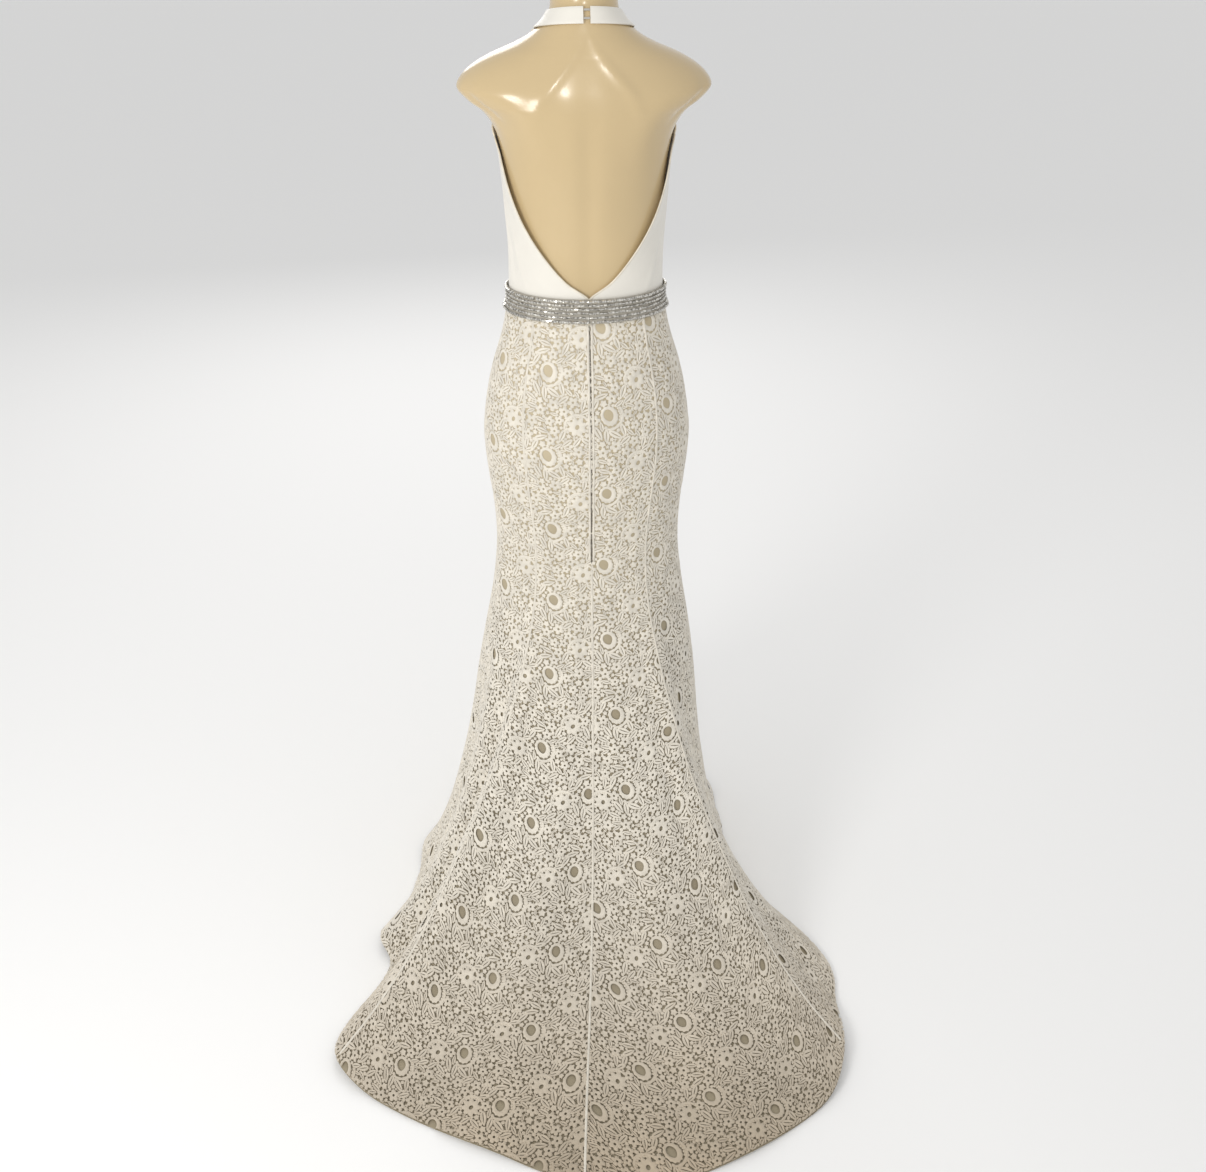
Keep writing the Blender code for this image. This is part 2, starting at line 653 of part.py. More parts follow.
def make_form(material):
    """The limbless form: hips that follow the skirt's rings, a torso that follows the bodice, and closed ends."""
    columns = ALL_COLUMNS // FORM_COLUMN_STEP
    torso_rows = len(TORSO) - 1
    rows = FORM_LAST_RING + torso_rows
    low, high = len(FORM_ENDS), len(NECK_ENDS)
    bm = grid(columns, low + rows + high)

    def where(x, y, z):
        column = x * FORM_COLUMN_STEP
        ring = np.clip(FORM_LAST_RING - (y - low), 0, FORM_LAST_RING)
        row = np.clip(y - low - FORM_LAST_RING, 0, torso_rows)
        normal = outward(skirt_base, column, off_ends(ring), COLUMN_STEP)
        hips = skirt_base(column, ring) - FORM_CLEARANCE_HIP * normal
        round_torso = ellipse_angle(column_angle(column, 0 * column))
        chest = torso_point(round_torso, row, -form_clearance(round_torso, row))
        points = np.where((row > 0)[:, None], chest, hips)
        for end, (first, sign, ends) in enumerate(((low, -1, FORM_ENDS), (low + rows, 1, NECK_ENDS))):
            for number, shape in enumerate(ends, 1):
                here = y == first + sign * number
                points[here, :2] *= shape.share
                points[here, 2] += sign * shape.beyond
        return points

    place(bm, where)
    bmesh.ops.remove_doubles(bm, verts=bm.verts, dist=1e-6)
    bmesh.ops.holes_fill(bm, edges=bm.edges)
    return finish(bm, "form_torso", material)


def form_bottom():
    return SKIRT_RINGS[FORM_LAST_RING].side_z - FORM_ENDS[-1].beyond


def make_pole(material):
    """The stand's pole, from the top of the base's boss up to the underside of the form."""
    bm = bmesh.new()
    low, high = BOSS_HEIGHT + SEAM_GAP, form_bottom() - SEAM_GAP
    bmesh.ops.create_cone(
        bm, cap_ends=True, segments=24, radius1=POLE_RADIUS, radius2=POLE_RADIUS, depth=high - low
    )
    bmesh.ops.translate(bm, vec=(0, 0, (low + high) / 2), verts=bm.verts)
    return finish(bm, "form_pole", material)


def make_base(material):
    """The stand's round base, turned from its profile."""
    bm = bmesh.new()
    verts = [bm.verts.new((radius, 0, height)) for radius, height in BASE_PROFILE]
    edges = [bm.edges.new(pair) for pair in zip(verts, verts[1:])]
    bmesh.ops.spin(
        bm, geom=verts + edges, cent=(0, 0, 0), axis=(0, 0, 1), angle=2 * math.pi,
        steps=BASE_SEGMENTS, use_merge=True, use_duplicate=False,
    )
    bmesh.ops.remove_doubles(bm, verts=bm.verts, dist=1e-6)
    bmesh.ops.holes_fill(bm, edges=bm.edges)
    return finish(bm, "form_base", material)


# Materials


def make_material(name, colour, roughness, metallic=0.0):
    made = bpy.data.materials.new(name)
    made.use_nodes = True
    shader = made.node_tree.nodes["Principled BSDF"]
    shader.inputs["Base Color"].default_value = (*colour, 1)
    shader.inputs["Roughness"].default_value = roughness
    shader.inputs["Metallic"].default_value = metallic
    return made


def main():
    for old in list(bpy.data.objects):
        bpy.data.objects.remove(old)
    satin = make_material("ivory_satin", (0.86, 0.83, 0.77), 0.45)
    lace = make_material("ivory_lace", (0.82, 0.78, 0.69), 0.80)
    lining = make_material("nude_lining", (0.62, 0.53, 0.40), 0.60)
    beads = make_material("silver_beads", (0.62, 0.61, 0.58), 0.25, 0.8)
    zip_coil = make_material("ivory_zip", (0.55, 0.50, 0.42), 0.60)
    steel = make_material("hook_steel", (0.60, 0.58, 0.55), 0.35, 1.0)
    shell = make_material("beige_shell", (0.72, 0.58, 0.38), 0.30)
    stand = make_material("stand_steel", (0.65, 0.65, 0.66), 0.25, 1.0)

    make_lining(lining)
    make_lace(lace)
    make_zip(zip_coil)
    make_bodice_front(satin)
    make_bodice_back("bodice_back_left", 1, satin)
    make_bodice_back("bodice_back_right", -1, satin)
    make_neck_band(satin)
    make_hook("hook_upper", BAND_TOP_ROW - 0.35, steel)
    make_hook("hook_lower", NECK_SEAM_ROW + 0.45, steel)
    make_belt(beads)
    make_form(shell)
    make_pole(stand)
    make_base(stand)


main()
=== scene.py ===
"""The look of a halter-neck mermaid gown on a dress form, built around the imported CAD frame.

Metres, +Z up, in the frame of the CAD part. The gown's front faces -Y, its train runs out along +Y and the
photograph is taken from behind. The skirt and the bodice follow the same surfaces as the CAD solids, on a
finer grid, from the same ring and section tables. Lace, beads and stitches lie on those surfaces.
"""

import math
from collections import namedtuple

import bmesh
import bpy
import numpy as np
from mathutils import Matrix, Vector


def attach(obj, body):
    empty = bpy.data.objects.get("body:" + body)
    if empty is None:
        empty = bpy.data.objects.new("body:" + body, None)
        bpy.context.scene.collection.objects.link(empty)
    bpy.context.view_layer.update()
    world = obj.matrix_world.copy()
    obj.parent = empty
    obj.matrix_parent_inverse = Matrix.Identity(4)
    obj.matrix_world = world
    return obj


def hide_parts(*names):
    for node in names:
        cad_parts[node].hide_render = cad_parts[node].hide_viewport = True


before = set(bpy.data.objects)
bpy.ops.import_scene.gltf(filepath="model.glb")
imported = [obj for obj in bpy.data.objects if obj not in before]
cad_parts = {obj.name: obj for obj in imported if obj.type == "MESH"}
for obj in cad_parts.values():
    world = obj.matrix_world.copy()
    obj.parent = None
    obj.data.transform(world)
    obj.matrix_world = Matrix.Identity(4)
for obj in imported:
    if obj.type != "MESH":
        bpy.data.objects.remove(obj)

bl_info = {
    "name": "Mermaid Gown on Dress Form",
    "version": (1, 0, 0),
    "blender": (4, 5, 0),
    "location": "3D View > Sidebar > Gown",
    "description": "Builds a lace and satin mermaid gown on a limbless dress form",
    "category": "Object",
}

# The skirt's rings from waist to hem, with their heights and distances from the axis

SkirtRing = namedtuple("SkirtRing", "front_z front side_z side back_z back spread")
SKIRT_RINGS = [
    SkirtRing(1.068, 0.0830, 1.068, 0.1150, 1.068, 0.0830, 0.00),
    SkirtRing(1.015, 0.0900, 1.015, 0.1255, 1.015, 0.0955, 0.00),
    SkirtRing(0.955, 0.0970, 0.955, 0.1440, 0.955, 0.1110, 0.00),
    SkirtRing(0.900, 0.1015, 0.900, 0.1555, 0.900, 0.1210, 0.00),
    SkirtRing(0.845, 0.1020, 0.845, 0.1610, 0.845, 0.1240, 0.00),
    SkirtRing(0.785, 0.0990, 0.785, 0.1570, 0.785, 0.1190, 0.00),
    SkirtRing(0.720, 0.0965, 0.720, 0.1498, 0.720, 0.1130, 0.00),
    SkirtRing(0.655, 0.0970, 0.655, 0.1482, 0.655, 0.1120, 0.00),
    SkirtRing(0.580, 0.1030, 0.580, 0.1560, 0.570, 0.1210, 0.00),
    SkirtRing(0.500, 0.1120, 0.500, 0.1690, 0.470, 0.1420, 0.02),
    SkirtRing(0.420, 0.1240, 0.420, 0.1800, 0.365, 0.1740, 0.05),
    SkirtRing(0.340, 0.1380, 0.340, 0.1880, 0.258, 0.2180, 0.10),
    SkirtRing(0.260, 0.1550, 0.258, 0.1980, 0.158, 0.2780, 0.20),
    SkirtRing(0.180, 0.1760, 0.176, 0.2130, 0.074, 0.3600, 0.34),
    SkirtRing(0.108, 0.2000, 0.104, 0.2280, 0.020, 0.4660, 0.54),
    SkirtRing(0.046, 0.2250, 0.044, 0.2460, 0.000, 0.5900, 0.76),
    SkirtRing(0.000, 0.2500, 0.000, 0.2680, 0.000, 0.7350, 1.00),
]
LAST_RING = len(SKIRT_RINGS) - 1

# How far the hem reaches from the axis, by the angle in degrees from the middle of the train
HemReach = namedtuple("HemReach", "angle reach")
HEM_REACH = [
    HemReach(-180, 0.250),
    HemReach(-145, 0.258),
    HemReach(-120, 0.262),
    HemReach(-90, 0.252),
    HemReach(-80, 0.258),
    HemReach(-71, 0.280),
    HemReach(-61, 0.330),
    HemReach(-57, 0.390),
    HemReach(-54, 0.480),
    HemReach(-50, 0.545),
    HemReach(-44, 0.583),
    HemReach(-40, 0.636),
    HemReach(-36, 0.678),
    HemReach(-32, 0.711),
    HemReach(-26, 0.724),
    HemReach(-19, 0.741),
    HemReach(-8, 0.762),
    HemReach(2, 0.742),
    HemReach(10, 0.713),
    HemReach(20, 0.693),
    HemReach(30, 0.684),
    HemReach(36, 0.668),
    HemReach(39, 0.635),
    HemReach(41, 0.525),
    HemReach(45, 0.465),
    HemReach(52, 0.452),
    HemReach(56, 0.410),
    HemReach(62, 0.360),
    HemReach(73, 0.322),
    HemReach(90, 0.290),
    HemReach(120, 0.272),
    HemReach(145, 0.260),
    HemReach(180, 0.250),
]
HEM_ROUNDING = 4
TRAIN_SWAY = 4

# Soft ridges from the knee to the hem, along the columns of the skirt's grid
Fold = namedtuple("Fold", "column half_width first_ring height hem_height")
FOLDS = [
    Fold(-23, 1.8, 8, 0.014, 0.022),
    Fold(-19, 1.8, 9, 0.016, 0.024),
    Fold(-13, 2.4, 7, 0.005, 0.005),
    Fold(-8, 1.9, 7, 0.026, 0.012),
    Fold(-4, 1.9, 10, 0.012, 0.005),
    Fold(3, 1.9, 10, 0.011, 0.006),
    Fold(8, 1.9, 7, 0.028, 0.012),
    Fold(12, 1.9, 7, 0.016, 0.014),
    Fold(16, 1.6, 8, 0.012, 0.014),
    Fold(19, 1.8, 9, 0.016, 0.024),
    Fold(23, 1.8, 8, 0.014, 0.022),
]
FOLD_PEAK_RING = 13

# Where the skirt's seams run, in degrees from the centre back
SeamAngles = namedtuple("SeamAngles", "ring back kick side front")
SEAMS = [
    SeamAngles(0, 52, 77, 92, 131),
    SeamAngles(4, 46, 74, 92, 134),
    SeamAngles(7, 44, 73, 91, 136),
    SeamAngles(11, 41, 66, 90, 137),
    SeamAngles(16, 37, 57, 88, 138),
]
BACK_SEAM = 8
KICK = 13
SIDE_SEAM = 16
FRONT_SEAM = 20
ALL_COLUMNS = 50

# Small creases of the skirt: column, ring, half sizes in columns and rings, lean in columns a ring, height
Crease = namedtuple("Crease", "column ring half_width half_length lean height")
SKIRT_CREASES = [
    Crease(5.5, 6.0, 0.9, 2.6, 0.25, 0.0016),
    Crease(-6.4, 6.6, 0.8, 2.2, -0.30, 0.0014),
    Crease(10.5, 5.0, 1.0, 2.0, 0.60, -0.0018),
    Crease(-11.0, 4.6, 1.1, 2.2, -0.55, -0.0016),
    Crease(2.2, 9.2, 0.9, 2.8, 0.10, 0.0024),
    Crease(-2.0, 10.4, 1.0, 3.0, -0.05, 0.0020),
    Crease(13.5, 7.6, 1.0, 2.4, 0.35, 0.0022),
    Crease(-14.2, 8.4, 1.1, 2.8, -0.20, 0.0020),
    Crease(5.4, 13.4, 1.0, 2.6, 0.10, 0.0040),
    Crease(-5.8, 13.2, 1.1, 3.0, -0.15, 0.0044),
    Crease(0.4, 13.8, 1.2, 2.4, 0.05, 0.0030),
    Crease(-1.9, 15.0, 0.8, 1.2, 0.10, 0.0036),
    Crease(2.0, 15.2, 0.7, 1.0, -0.10, 0.0030),
    Crease(-7.0, 15.0, 0.8, 1.4, 0.20, 0.0040),
    Crease(6.6, 15.1, 0.8, 1.2, -0.20, 0.0036),
    Crease(18.0, 6.4, 1.0, 2.4, 0.20, 0.0018),
    Crease(-18.4, 6.0, 1.0, 2.6, -0.20, 0.0018),
    Crease(22.6, 7.8, 1.2, 3.2, 0.10, 0.0022),
    Crease(-22.0, 7.2, 1.1, 3.0, -0.10, 0.0020),
    Crease(25.0, 10.0, 1.2, 3.4, 0.00, 0.0024),
]

# The torso's sections from waist to neck
Section = namedtuple("Section", "z side front back edge tilt")
TORSO = [
    Section(1.068, 0.1150, 0.0830, 0.0830, 0.0, 0.0),
    Section(1.086, 0.1146, 0.0840, 0.0825, 1.0, 0.0),
    Section(1.110, 0.1140, 0.0860, 0.0820, 18.0, 0.0),
    Section(1.150, 0.1140, 0.0960, 0.0850, 36.0, 0.0),
    Section(1.190, 0.1165, 0.1080, 0.0900, 50.0, 0.0),
    Section(1.230, 0.1190, 0.1140, 0.0950, 62.0, 0.0),
    Section(1.265, 0.1220, 0.1120, 0.0990, 72.0, 0.0),
    Section(1.290, 0.1255, 0.1050, 0.1010, 81.0, 0.0),
    Section(1.308, 0.1300, 0.0980, 0.1015, 94.0, 0.0),
    Section(1.324, 0.1385, 0.0910, 0.1010, 120.0, 0.0),
    Section(1.336, 0.1495, 0.0870, 0.1005, 135.0, 0.0),
    Section(1.349, 0.1675, 0.0820, 0.0995, 145.5, 0.0),
    Section(1.368, 0.1820, 0.0740, 0.0960, 150.0, 0.0),
    Section(1.390, 0.1690, 0.0640, 0.0900, 150.0, 0.0),
    Section(1.410, 0.1385, 0.0540, 0.0830, 145.5, 0.2),
    Section(1.428, 0.0930, 0.0460, 0.0745, 128.0, 0.6),
    Section(1.4415, 0.0690, 0.0420, 0.0690, 101.0, 1.0),
    Section(1.455, 0.0550, 0.0390, 0.0650, 101.0, 1.0),
    Section(1.470, 0.0485, 0.0370, 0.0610, 101.0, 0.8),
    Section(1.500, 0.0475, 0.0360, 0.0600, 101.0, 0.0),
]
SIDE_SEAM_ANGLE = 90.0
BACK_PIECE_TOP_ROW = 7.5
NECK_SEAM_ROW = 16
BAND_TOP_ROW = 17.6
NECK_TILT = 0.013
BUST_HEIGHT = 1.240
BUST_SPACING = 0.064
BUST_RISE = 0.016
BUST_WIDTH = 0.044
BUST_TALLNESS = 0.048

# Creases of the satin: angle in degrees and row, half sizes, lean in degrees per row, and height
SATIN_CREASES = [
    Crease(80, 3.4, 5.0, 2.2, 2.0, 0.0011),
    Crease(70, 2.6, 4.0, 1.6, 5.0, -0.0010),
    Crease(58, 2.2, 4.0, 1.3, 8.0, 0.0009),
    Crease(-79, 3.0, 5.0, 2.0, -2.5, 0.0012),
    Crease(-66, 2.8, 4.0, 1.8, -6.0, -0.0010),
    Crease(-54, 2.0, 4.0, 1.2, -8.0, 0.0008),
    Crease(86, 5.6, 4.0, 1.6, 1.0, -0.0009),
    Crease(-87, 5.2, 4.0, 1.8, -1.0, 0.0010),
    Crease(104, 4.2, 6.0, 2.2, 3.0, 0.0011),
    Crease(-106, 4.6, 6.0, 2.4, -3.0, 0.0010),
    Crease(122, 8.0, 5.0, 2.0, 4.0, 0.0010),
    Crease(-124, 7.6, 5.0, 2.2, -4.0, -0.0010),
    Crease(150, 11.0, 6.0, 3.0, 3.0, 0.0010),
    Crease(-152, 11.4, 6.0, 2.8, -3.0, 0.0011),
    Crease(172, 3.0, 7.0, 2.2, 2.0, 0.0009),
    Crease(-168, 2.4, 6.0, 1.8, -2.0, -0.0009),
]

# Soft forms of the shell's back: angle in degrees and row, half sizes, lean, and height
SHELL_FORMS = [
    Crease(0, 7.0, 9.0, 7.0, 0.0, -0.0032),
    Crease(36, 9.0, 15.0, 3.4, 0.0, 0.0040),
    Crease(-36, 9.0, 15.0, 3.4, 0.0, 0.0040),
    Crease(17, 12.4, 4.0, 2.4, -5.0, 0.0022),
    Crease(-17, 12.4, 4.0, 2.4, 5.0, 0.0022),
    Crease(64, 10.8, 6.0, 1.8, 2.0, -0.0034),
    Crease(-64, 10.8, 6.0, 1.8, -2.0, -0.0034),
]

# Walls of cloth, as distances out from the surfaces
LINING_INNER = 0.0
LINING_OUTER = 0.0010
LACE_GROUND = 0.0014
LACE_FLOAT = 0.0022
FLOAT_FIRST_RING = 7
FLOAT_LAST_RING = 11
SATIN_INNER = 0.0005
SATIN_OUTER = 0.0017
EDGE_LIFT = 0.0045
BAND_INNER = 0.0
BAND_OUTER = 0.0022
BAND_BACK_GAP = 0.0092
FORM_CLEARANCE_HIP = 0.0012
FORM_CLEARANCE_CHEST = 0.0030
FORM_CLEARANCE_NECK = 0.0016
FORM_LAST_RING = 7
FORM_BOTTOM_Z = 0.634
FORM_TOP_Z = 1.510
ZIP_LAST_RING = 7

BELT_INNER = 0.0031
BELT_HEIGHT = 0.035
BELT_TOP = 1.086
BELT_FLARE = 1.6
BELT_LEAN = 0.04
WAIST_HEIGHT = 1.068

FINE = 8
FINE_MARGIN = 2
COLOUR = dict(subtype="COLOR", size=4, min=0.0, max=1.0)


# Settings a user would change


class GownColours(bpy.types.PropertyGroup):
    satin: bpy.props.FloatVectorProperty(
        name="Satin", description="Colour of the bodice and neck band",
        default=(0.82, 0.79, 0.72, 1), **COLOUR
    )
    lace: bpy.props.FloatVectorProperty(
        name="Lace", description="Colour of the corded lace", default=(0.80, 0.75, 0.655, 1), **COLOUR
    )
    # Painted shade: the train colour is the lace drawn darker and warmer toward the end of the train, where
    # less light reaches it.
    train: bpy.props.FloatVectorProperty(
        name="Train", description="Warmer colour of the lace toward the end of the train",
        default=(0.50, 0.405, 0.285, 1), **COLOUR
    )
    lining: bpy.props.FloatVectorProperty(
        name="Lining", description="Colour of the nude lining under the lace",
        default=(0.56, 0.475, 0.325, 1), **COLOUR
    )
    beads: bpy.props.FloatVectorProperty(
        name="Beads", description="Colour of the belt's silver beads", default=(0.50, 0.47, 0.42, 1), **COLOUR
    )
    shell: bpy.props.FloatVectorProperty(
        name="Form", description="Colour of the dress form's hard shell",
        default=(0.62, 0.475, 0.265, 1), **COLOUR
    )
    floor: bpy.props.FloatVectorProperty(
        name="Floor", description="Colour of the studio floor", default=(0.94, 0.94, 0.935, 1), **COLOUR
    )


class GownSizes(bpy.types.PropertyGroup):
    repeat_width: bpy.props.FloatProperty(
        name="Repeat width", description="Width of one repeat of the lace", default=0.088, unit="LENGTH"
    )
    repeat_height: bpy.props.FloatProperty(
        name="Repeat height", description="Height of one repeat of the lace", default=0.130, unit="LENGTH"
    )
    smallest_gap: bpy.props.FloatProperty(
        name="Smallest filled gap", description="Radius of the smallest gap in the lace that a dot fills",
        default=0.0019, unit="LENGTH"
    )
    cord_height: bpy.props.FloatProperty(
        name="Cord height", description="How far the lace's cords stand up", default=0.0013, unit="LENGTH"
    )
    bead_length: bpy.props.FloatProperty(
        name="Bead length", description="Length of one bugle bead of the belt", default=0.0052, unit="LENGTH"
    )
    bead_rows: bpy.props.IntProperty(
        name="Bead rows", description="Rows of beads on the waist belt", default=6, min=1, max=10
    )
    crease_share: bpy.props.FloatProperty(
        name="Crease depth", description="Depth of the creases, as a share of the modelled one", default=1.0,
        min=0.0, max=2.0, subtype="FACTOR"
    )
    seed: bpy.props.IntProperty(
        name="Lace seed", description="Start of the random draws that lay out the lace", default=11
    )


class StageSettings(bpy.types.PropertyGroup):
    lens: bpy.props.FloatProperty(
        name="Lens", description="Focal length of the camera in millimetres", default=38.8
    )
    camera_height: bpy.props.FloatProperty(
        name="Camera height", description="Height of the camera over the floor", default=1.67, unit="LENGTH"
    )
    camera_distance: bpy.props.FloatProperty(
        name="Camera distance", description="Level distance from the form's axis", default=1.93, unit="LENGTH"
    )
    camera_pitch: bpy.props.FloatProperty(
        name="Camera pitch", description="How far the camera looks down", default=math.radians(30),
        subtype="ANGLE", unit="ROTATION"
    )
    camera_turn: bpy.props.FloatProperty(
        name="Camera turn", description="Camera's turn round the form from straight behind",
        default=math.radians(4), subtype="ANGLE", unit="ROTATION"
    )
    camera_aside: bpy.props.FloatProperty(
        name="Camera aside", description="How far the form's axis lies left of the picture's middle",
        default=0.026, unit="LENGTH"
    )


def colours():
    return bpy.context.scene.gown_colours


def sizes():
    return bpy.context.scene.gown_sizes


# Tables read at any row


def between(share, low, high):
    return low + (high - low) * share


def soft_step(value):
    value = np.clip(value, 0, 1)
    return value * value * (3 - 2 * value)


def smooth_column(rows, name, position):
    """A table's column as a smooth curve through its rows, read at a fractional row."""
    values = np.array([getattr(row, name) for row in rows], float)
    first = 2 * values[0] - values[1]
    last = 2 * values[-1] - values[-2]
    padded = np.concatenate([[first], values, [last]])
    row = np.clip(np.floor(position).astype(int), 0, len(values) - 2)
    t = position - row
    before, start, end, after = (padded[row + i] for i in range(4))
    bend = 2 * before - 5 * start + 4 * end - after
    twist = 3 * (start - end) + after - before
    return start + 0.5 * t * ((end - before) + t * (bend + t * twist))


def hem_reach(angle):
    """The hem's distance from the axis at an angle in degrees, with the table's corners rounded."""
    angles = [row.angle for row in HEM_REACH]
    reaches = [row.reach for row in HEM_REACH]
    shifts = np.arange(-HEM_ROUNDING, HEM_ROUNDING + 0.1, 0.5)
    shares = 1 + np.cos(math.pi * shifts / (HEM_ROUNDING + 0.5))
    turned = (np.asarray(angle)[..., None] + shifts + 180) % 360 - 180
    return np.interp(turned, angles, reaches) @ (shares / shares.sum())


def wrapped(value, turn):
    return (value + turn / 2) % turn - turn / 2


def fold_height(column, ring):
    """How far the folds stand out of the skirt's surface."""
    total = 0.0
    for fold in FOLDS:
        away = np.abs(wrapped(column - fold.column, ALL_COLUMNS)) / fold.half_width
        across = 0.5 + 0.5 * np.cos(math.pi * np.minimum(away, 1))
        grown = soft_step((ring - fold.first_ring) / (FOLD_PEAK_RING - fold.first_ring))
        below = np.clip((ring - FOLD_PEAK_RING) / (LAST_RING - FOLD_PEAK_RING), 0, 1)
        total = total + across * grown * between(below, fold.height, fold.hem_height)
    return total


def crease_height(creases, across, along, turn):
    """The height of all soft creases at a place of a surface, where across wraps round after a turn."""
    total = 0.0
    for crease in creases:
        up = (along - crease.ring) / crease.half_length
        side = wrapped(across - crease.column - crease.lean * (along - crease.ring), turn) / crease.half_width
        total = total + crease.height * np.exp(-1.5 * (side * side + up * up))
    return total * sizes().crease_share


# The skirt's surface on a fine grid


def column_angle(column, ring):
    """The angle in degrees of a column of the skirt's grid, which bends with the seams."""
    rings = [row.ring for row in SEAMS]
    back, kick, side, front = (
        np.interp(ring, rings, [getattr(row, name) for row in SEAMS])
        for name in ("back", "kick", "side", "front")
    )
    knots = [0, BACK_SEAM, KICK, SIDE_SEAM, FRONT_SEAM, ALL_COLUMNS / 2]
    angles = [0 * back, back, kick, side, front, 180 + 0 * back]
    turned = wrapped(column, ALL_COLUMNS)
    near = np.abs(turned)
    angle = np.zeros_like(near, float)
    for start, end, low, high in zip(knots, knots[1:], angles, angles[1:]):
        share = (near - start) / (end - start)
        angle = np.where((near >= start) & (near <= end), between(share, low, high), angle)
    sway = TRAIN_SWAY * soft_step((ring - FLOAT_FIRST_RING) / (LAST_RING - FLOAT_FIRST_RING))
    return np.where(turned < 0, -angle, angle) + sway * (1 - near / (ALL_COLUMNS / 2))


def half_ellipses(angle, side, front, back):
    """The distance from the axis to an outline of two half ellipses, at a polar angle in radians."""
    depth = np.where(np.cos(angle) > 0, back, front)
    return 1 / np.hypot(np.sin(angle) / side, np.cos(angle) / depth)


def skirt_base(column, ring):
    """A point of the skirt's surface without its folds."""
    angle = column_angle(column, ring)
    turn = np.radians(angle)
    side = smooth_column(SKIRT_RINGS, "side", ring)
    front = smooth_column(SKIRT_RINGS, "front", ring)
    back = smooth_column(SKIRT_RINGS, "back", ring)
    hem = SKIRT_RINGS[-1]
    spread = smooth_column(SKIRT_RINGS, "spread", ring)
    further = hem_reach(angle - TRAIN_SWAY) - half_ellipses(turn, hem.side, hem.front, hem.back)
    reach = half_ellipses(turn, side, front, back) + spread * further
    end_z = np.where(
        np.cos(turn) > 0,
        smooth_column(SKIRT_RINGS, "back_z", ring),
        smooth_column(SKIRT_RINGS, "front_z", ring),
    )
    side_z = smooth_column(SKIRT_RINGS, "side_z", ring)
    height = np.maximum(side_z + (end_z - side_z) * np.cos(turn) ** 2, 0)
    return np.stack([reach * np.sin(turn), reach * np.cos(turn), height], -1)


def grid_normals(points):
    """The unit normals of a grid of points, which grow outwards from columns to rows."""
    normal = np.cross(np.gradient(points, axis=0), np.gradient(points, axis=1))
    return normal / np.linalg.norm(normal, axis=-1, keepdims=True)


class SkirtSurface:
    """The folded skirt's points and normals on a fine grid, read between the grid's lines."""

    def __init__(self):
        columns = np.arange(-FINE_MARGIN, ALL_COLUMNS * FINE + FINE_MARGIN + 1) / FINE
        rings = np.arange(LAST_RING * FINE + 1) / FINE
        column, ring = np.meshgrid(columns, rings, indexing="ij")
        base = skirt_base(column, ring)
        fold = fold_height(column, ring) + crease_height(SKIRT_CREASES, column, ring, ALL_COLUMNS)
        self.points = base + fold[..., None] * grid_normals(base)
        self.points[..., 2] = np.maximum(self.points[..., 2], 0)
        self.normals = grid_normals(self.points)

    def at(self, column, ring, distance):
        """Points at columns and rings, moved out by a distance."""
        c = (np.asarray(column, float) % ALL_COLUMNS) * FINE + FINE_MARGIN
        r = np.clip(ring, 0, LAST_RING) * FINE
        left = np.floor(c).astype(int)
        low = np.minimum(np.floor(r).astype(int), LAST_RING * FINE - 1)
        across, up = (c - left)[..., None], (r - low)[..., None]

        def read(table):
            near = between(across, table[left, low], table[left + 1, low])
            far = between(across, table[left, low + 1], table[left + 1, low + 1])
            return between(up, near, far)

        normal = read(self.normals)
        normal = normal / np.linalg.norm(normal, axis=-1, keepdims=True)
        return read(self.points) + np.asarray(distance)[..., None] * normal


class PanelCloth:
    """The flat cloth of one skirt panel: real distances across and down, turned into columns and rings."""

    def __init__(self, surface, first, last):
        self.columns = np.linspace(first, last, (last - first) * 4 + 1)
        self.rings = np.arange(LAST_RING * 4 + 1) / 4
        column, ring = np.meshgrid(self.columns, self.rings, indexing="ij")
        points = surface.at(column, ring, np.zeros_like(column))
        steps = np.linalg.norm(np.diff(points, axis=0), axis=-1)
        across = np.vstack([np.zeros(len(self.rings)), np.cumsum(steps, axis=0)])
        middle = len(self.columns) // 2
        self.across = across - across[middle]
        down = np.linalg.norm(np.diff(points[middle], axis=0), axis=-1)
        self.down = np.concatenate([[0], np.cumsum(down)])
        self.low_x, self.high_x = self.across.min(), self.across.max()
        self.length = self.down[-1]

    def place(self, x, y):
        """The column, the ring and whether the place lies inside the panel, for flat places in metres."""
        position = np.interp(y, self.down, np.arange(len(self.rings)))
        row = np.minimum(np.floor(position).astype(int), len(self.rings) - 2)
        share = position - row
        column = np.zeros_like(x)
        inside = (y >= 0) & (y <= self.length)
        for number in range(len(self.rings) - 1):
            here = row == number
            if not here.any():
                continue
            near = np.interp(x[here], self.across[:, number], self.columns)
            far = np.interp(x[here], self.across[:, number + 1], self.columns)
            column[here] = between(share[here], near, far)
            left = between(share[here], self.across[0, number], self.across[0, number + 1])
            right = between(share[here], self.across[-1, number], self.across[-1, number + 1])
            inside[here] &= (x[here] >= left) & (x[here] <= right)
        return column, np.interp(position, np.arange(len(self.rings)), self.rings), inside


# The torso's surface


def torso_base(angle, row):
    """A point of the torso's surface, at an ellipse's own angle in degrees."""
    turn = np.radians(angle)
    side = smooth_column(TORSO, "side", row)
    front = smooth_column(TORSO, "front", row)
    back = smooth_column(TORSO, "back", row)
    height = smooth_column(TORSO, "z", row)
    height = height + NECK_TILT * smooth_column(TORSO, "tilt", row) * np.cos(turn)
    depth = np.where(np.cos(turn) > 0, back, front)
    x = side * np.sin(turn)
    y = depth * np.cos(turn)
    near_bust = ((np.abs(x) - BUST_SPACING) / BUST_WIDTH) ** 2
    near_bust = near_bust + ((height - BUST_HEIGHT) / BUST_TALLNESS) ** 2
    rise = BUST_RISE * np.exp(-near_bust) * soft_step(-3 * np.cos(turn))
    return np.stack([x, y - rise, height], -1)


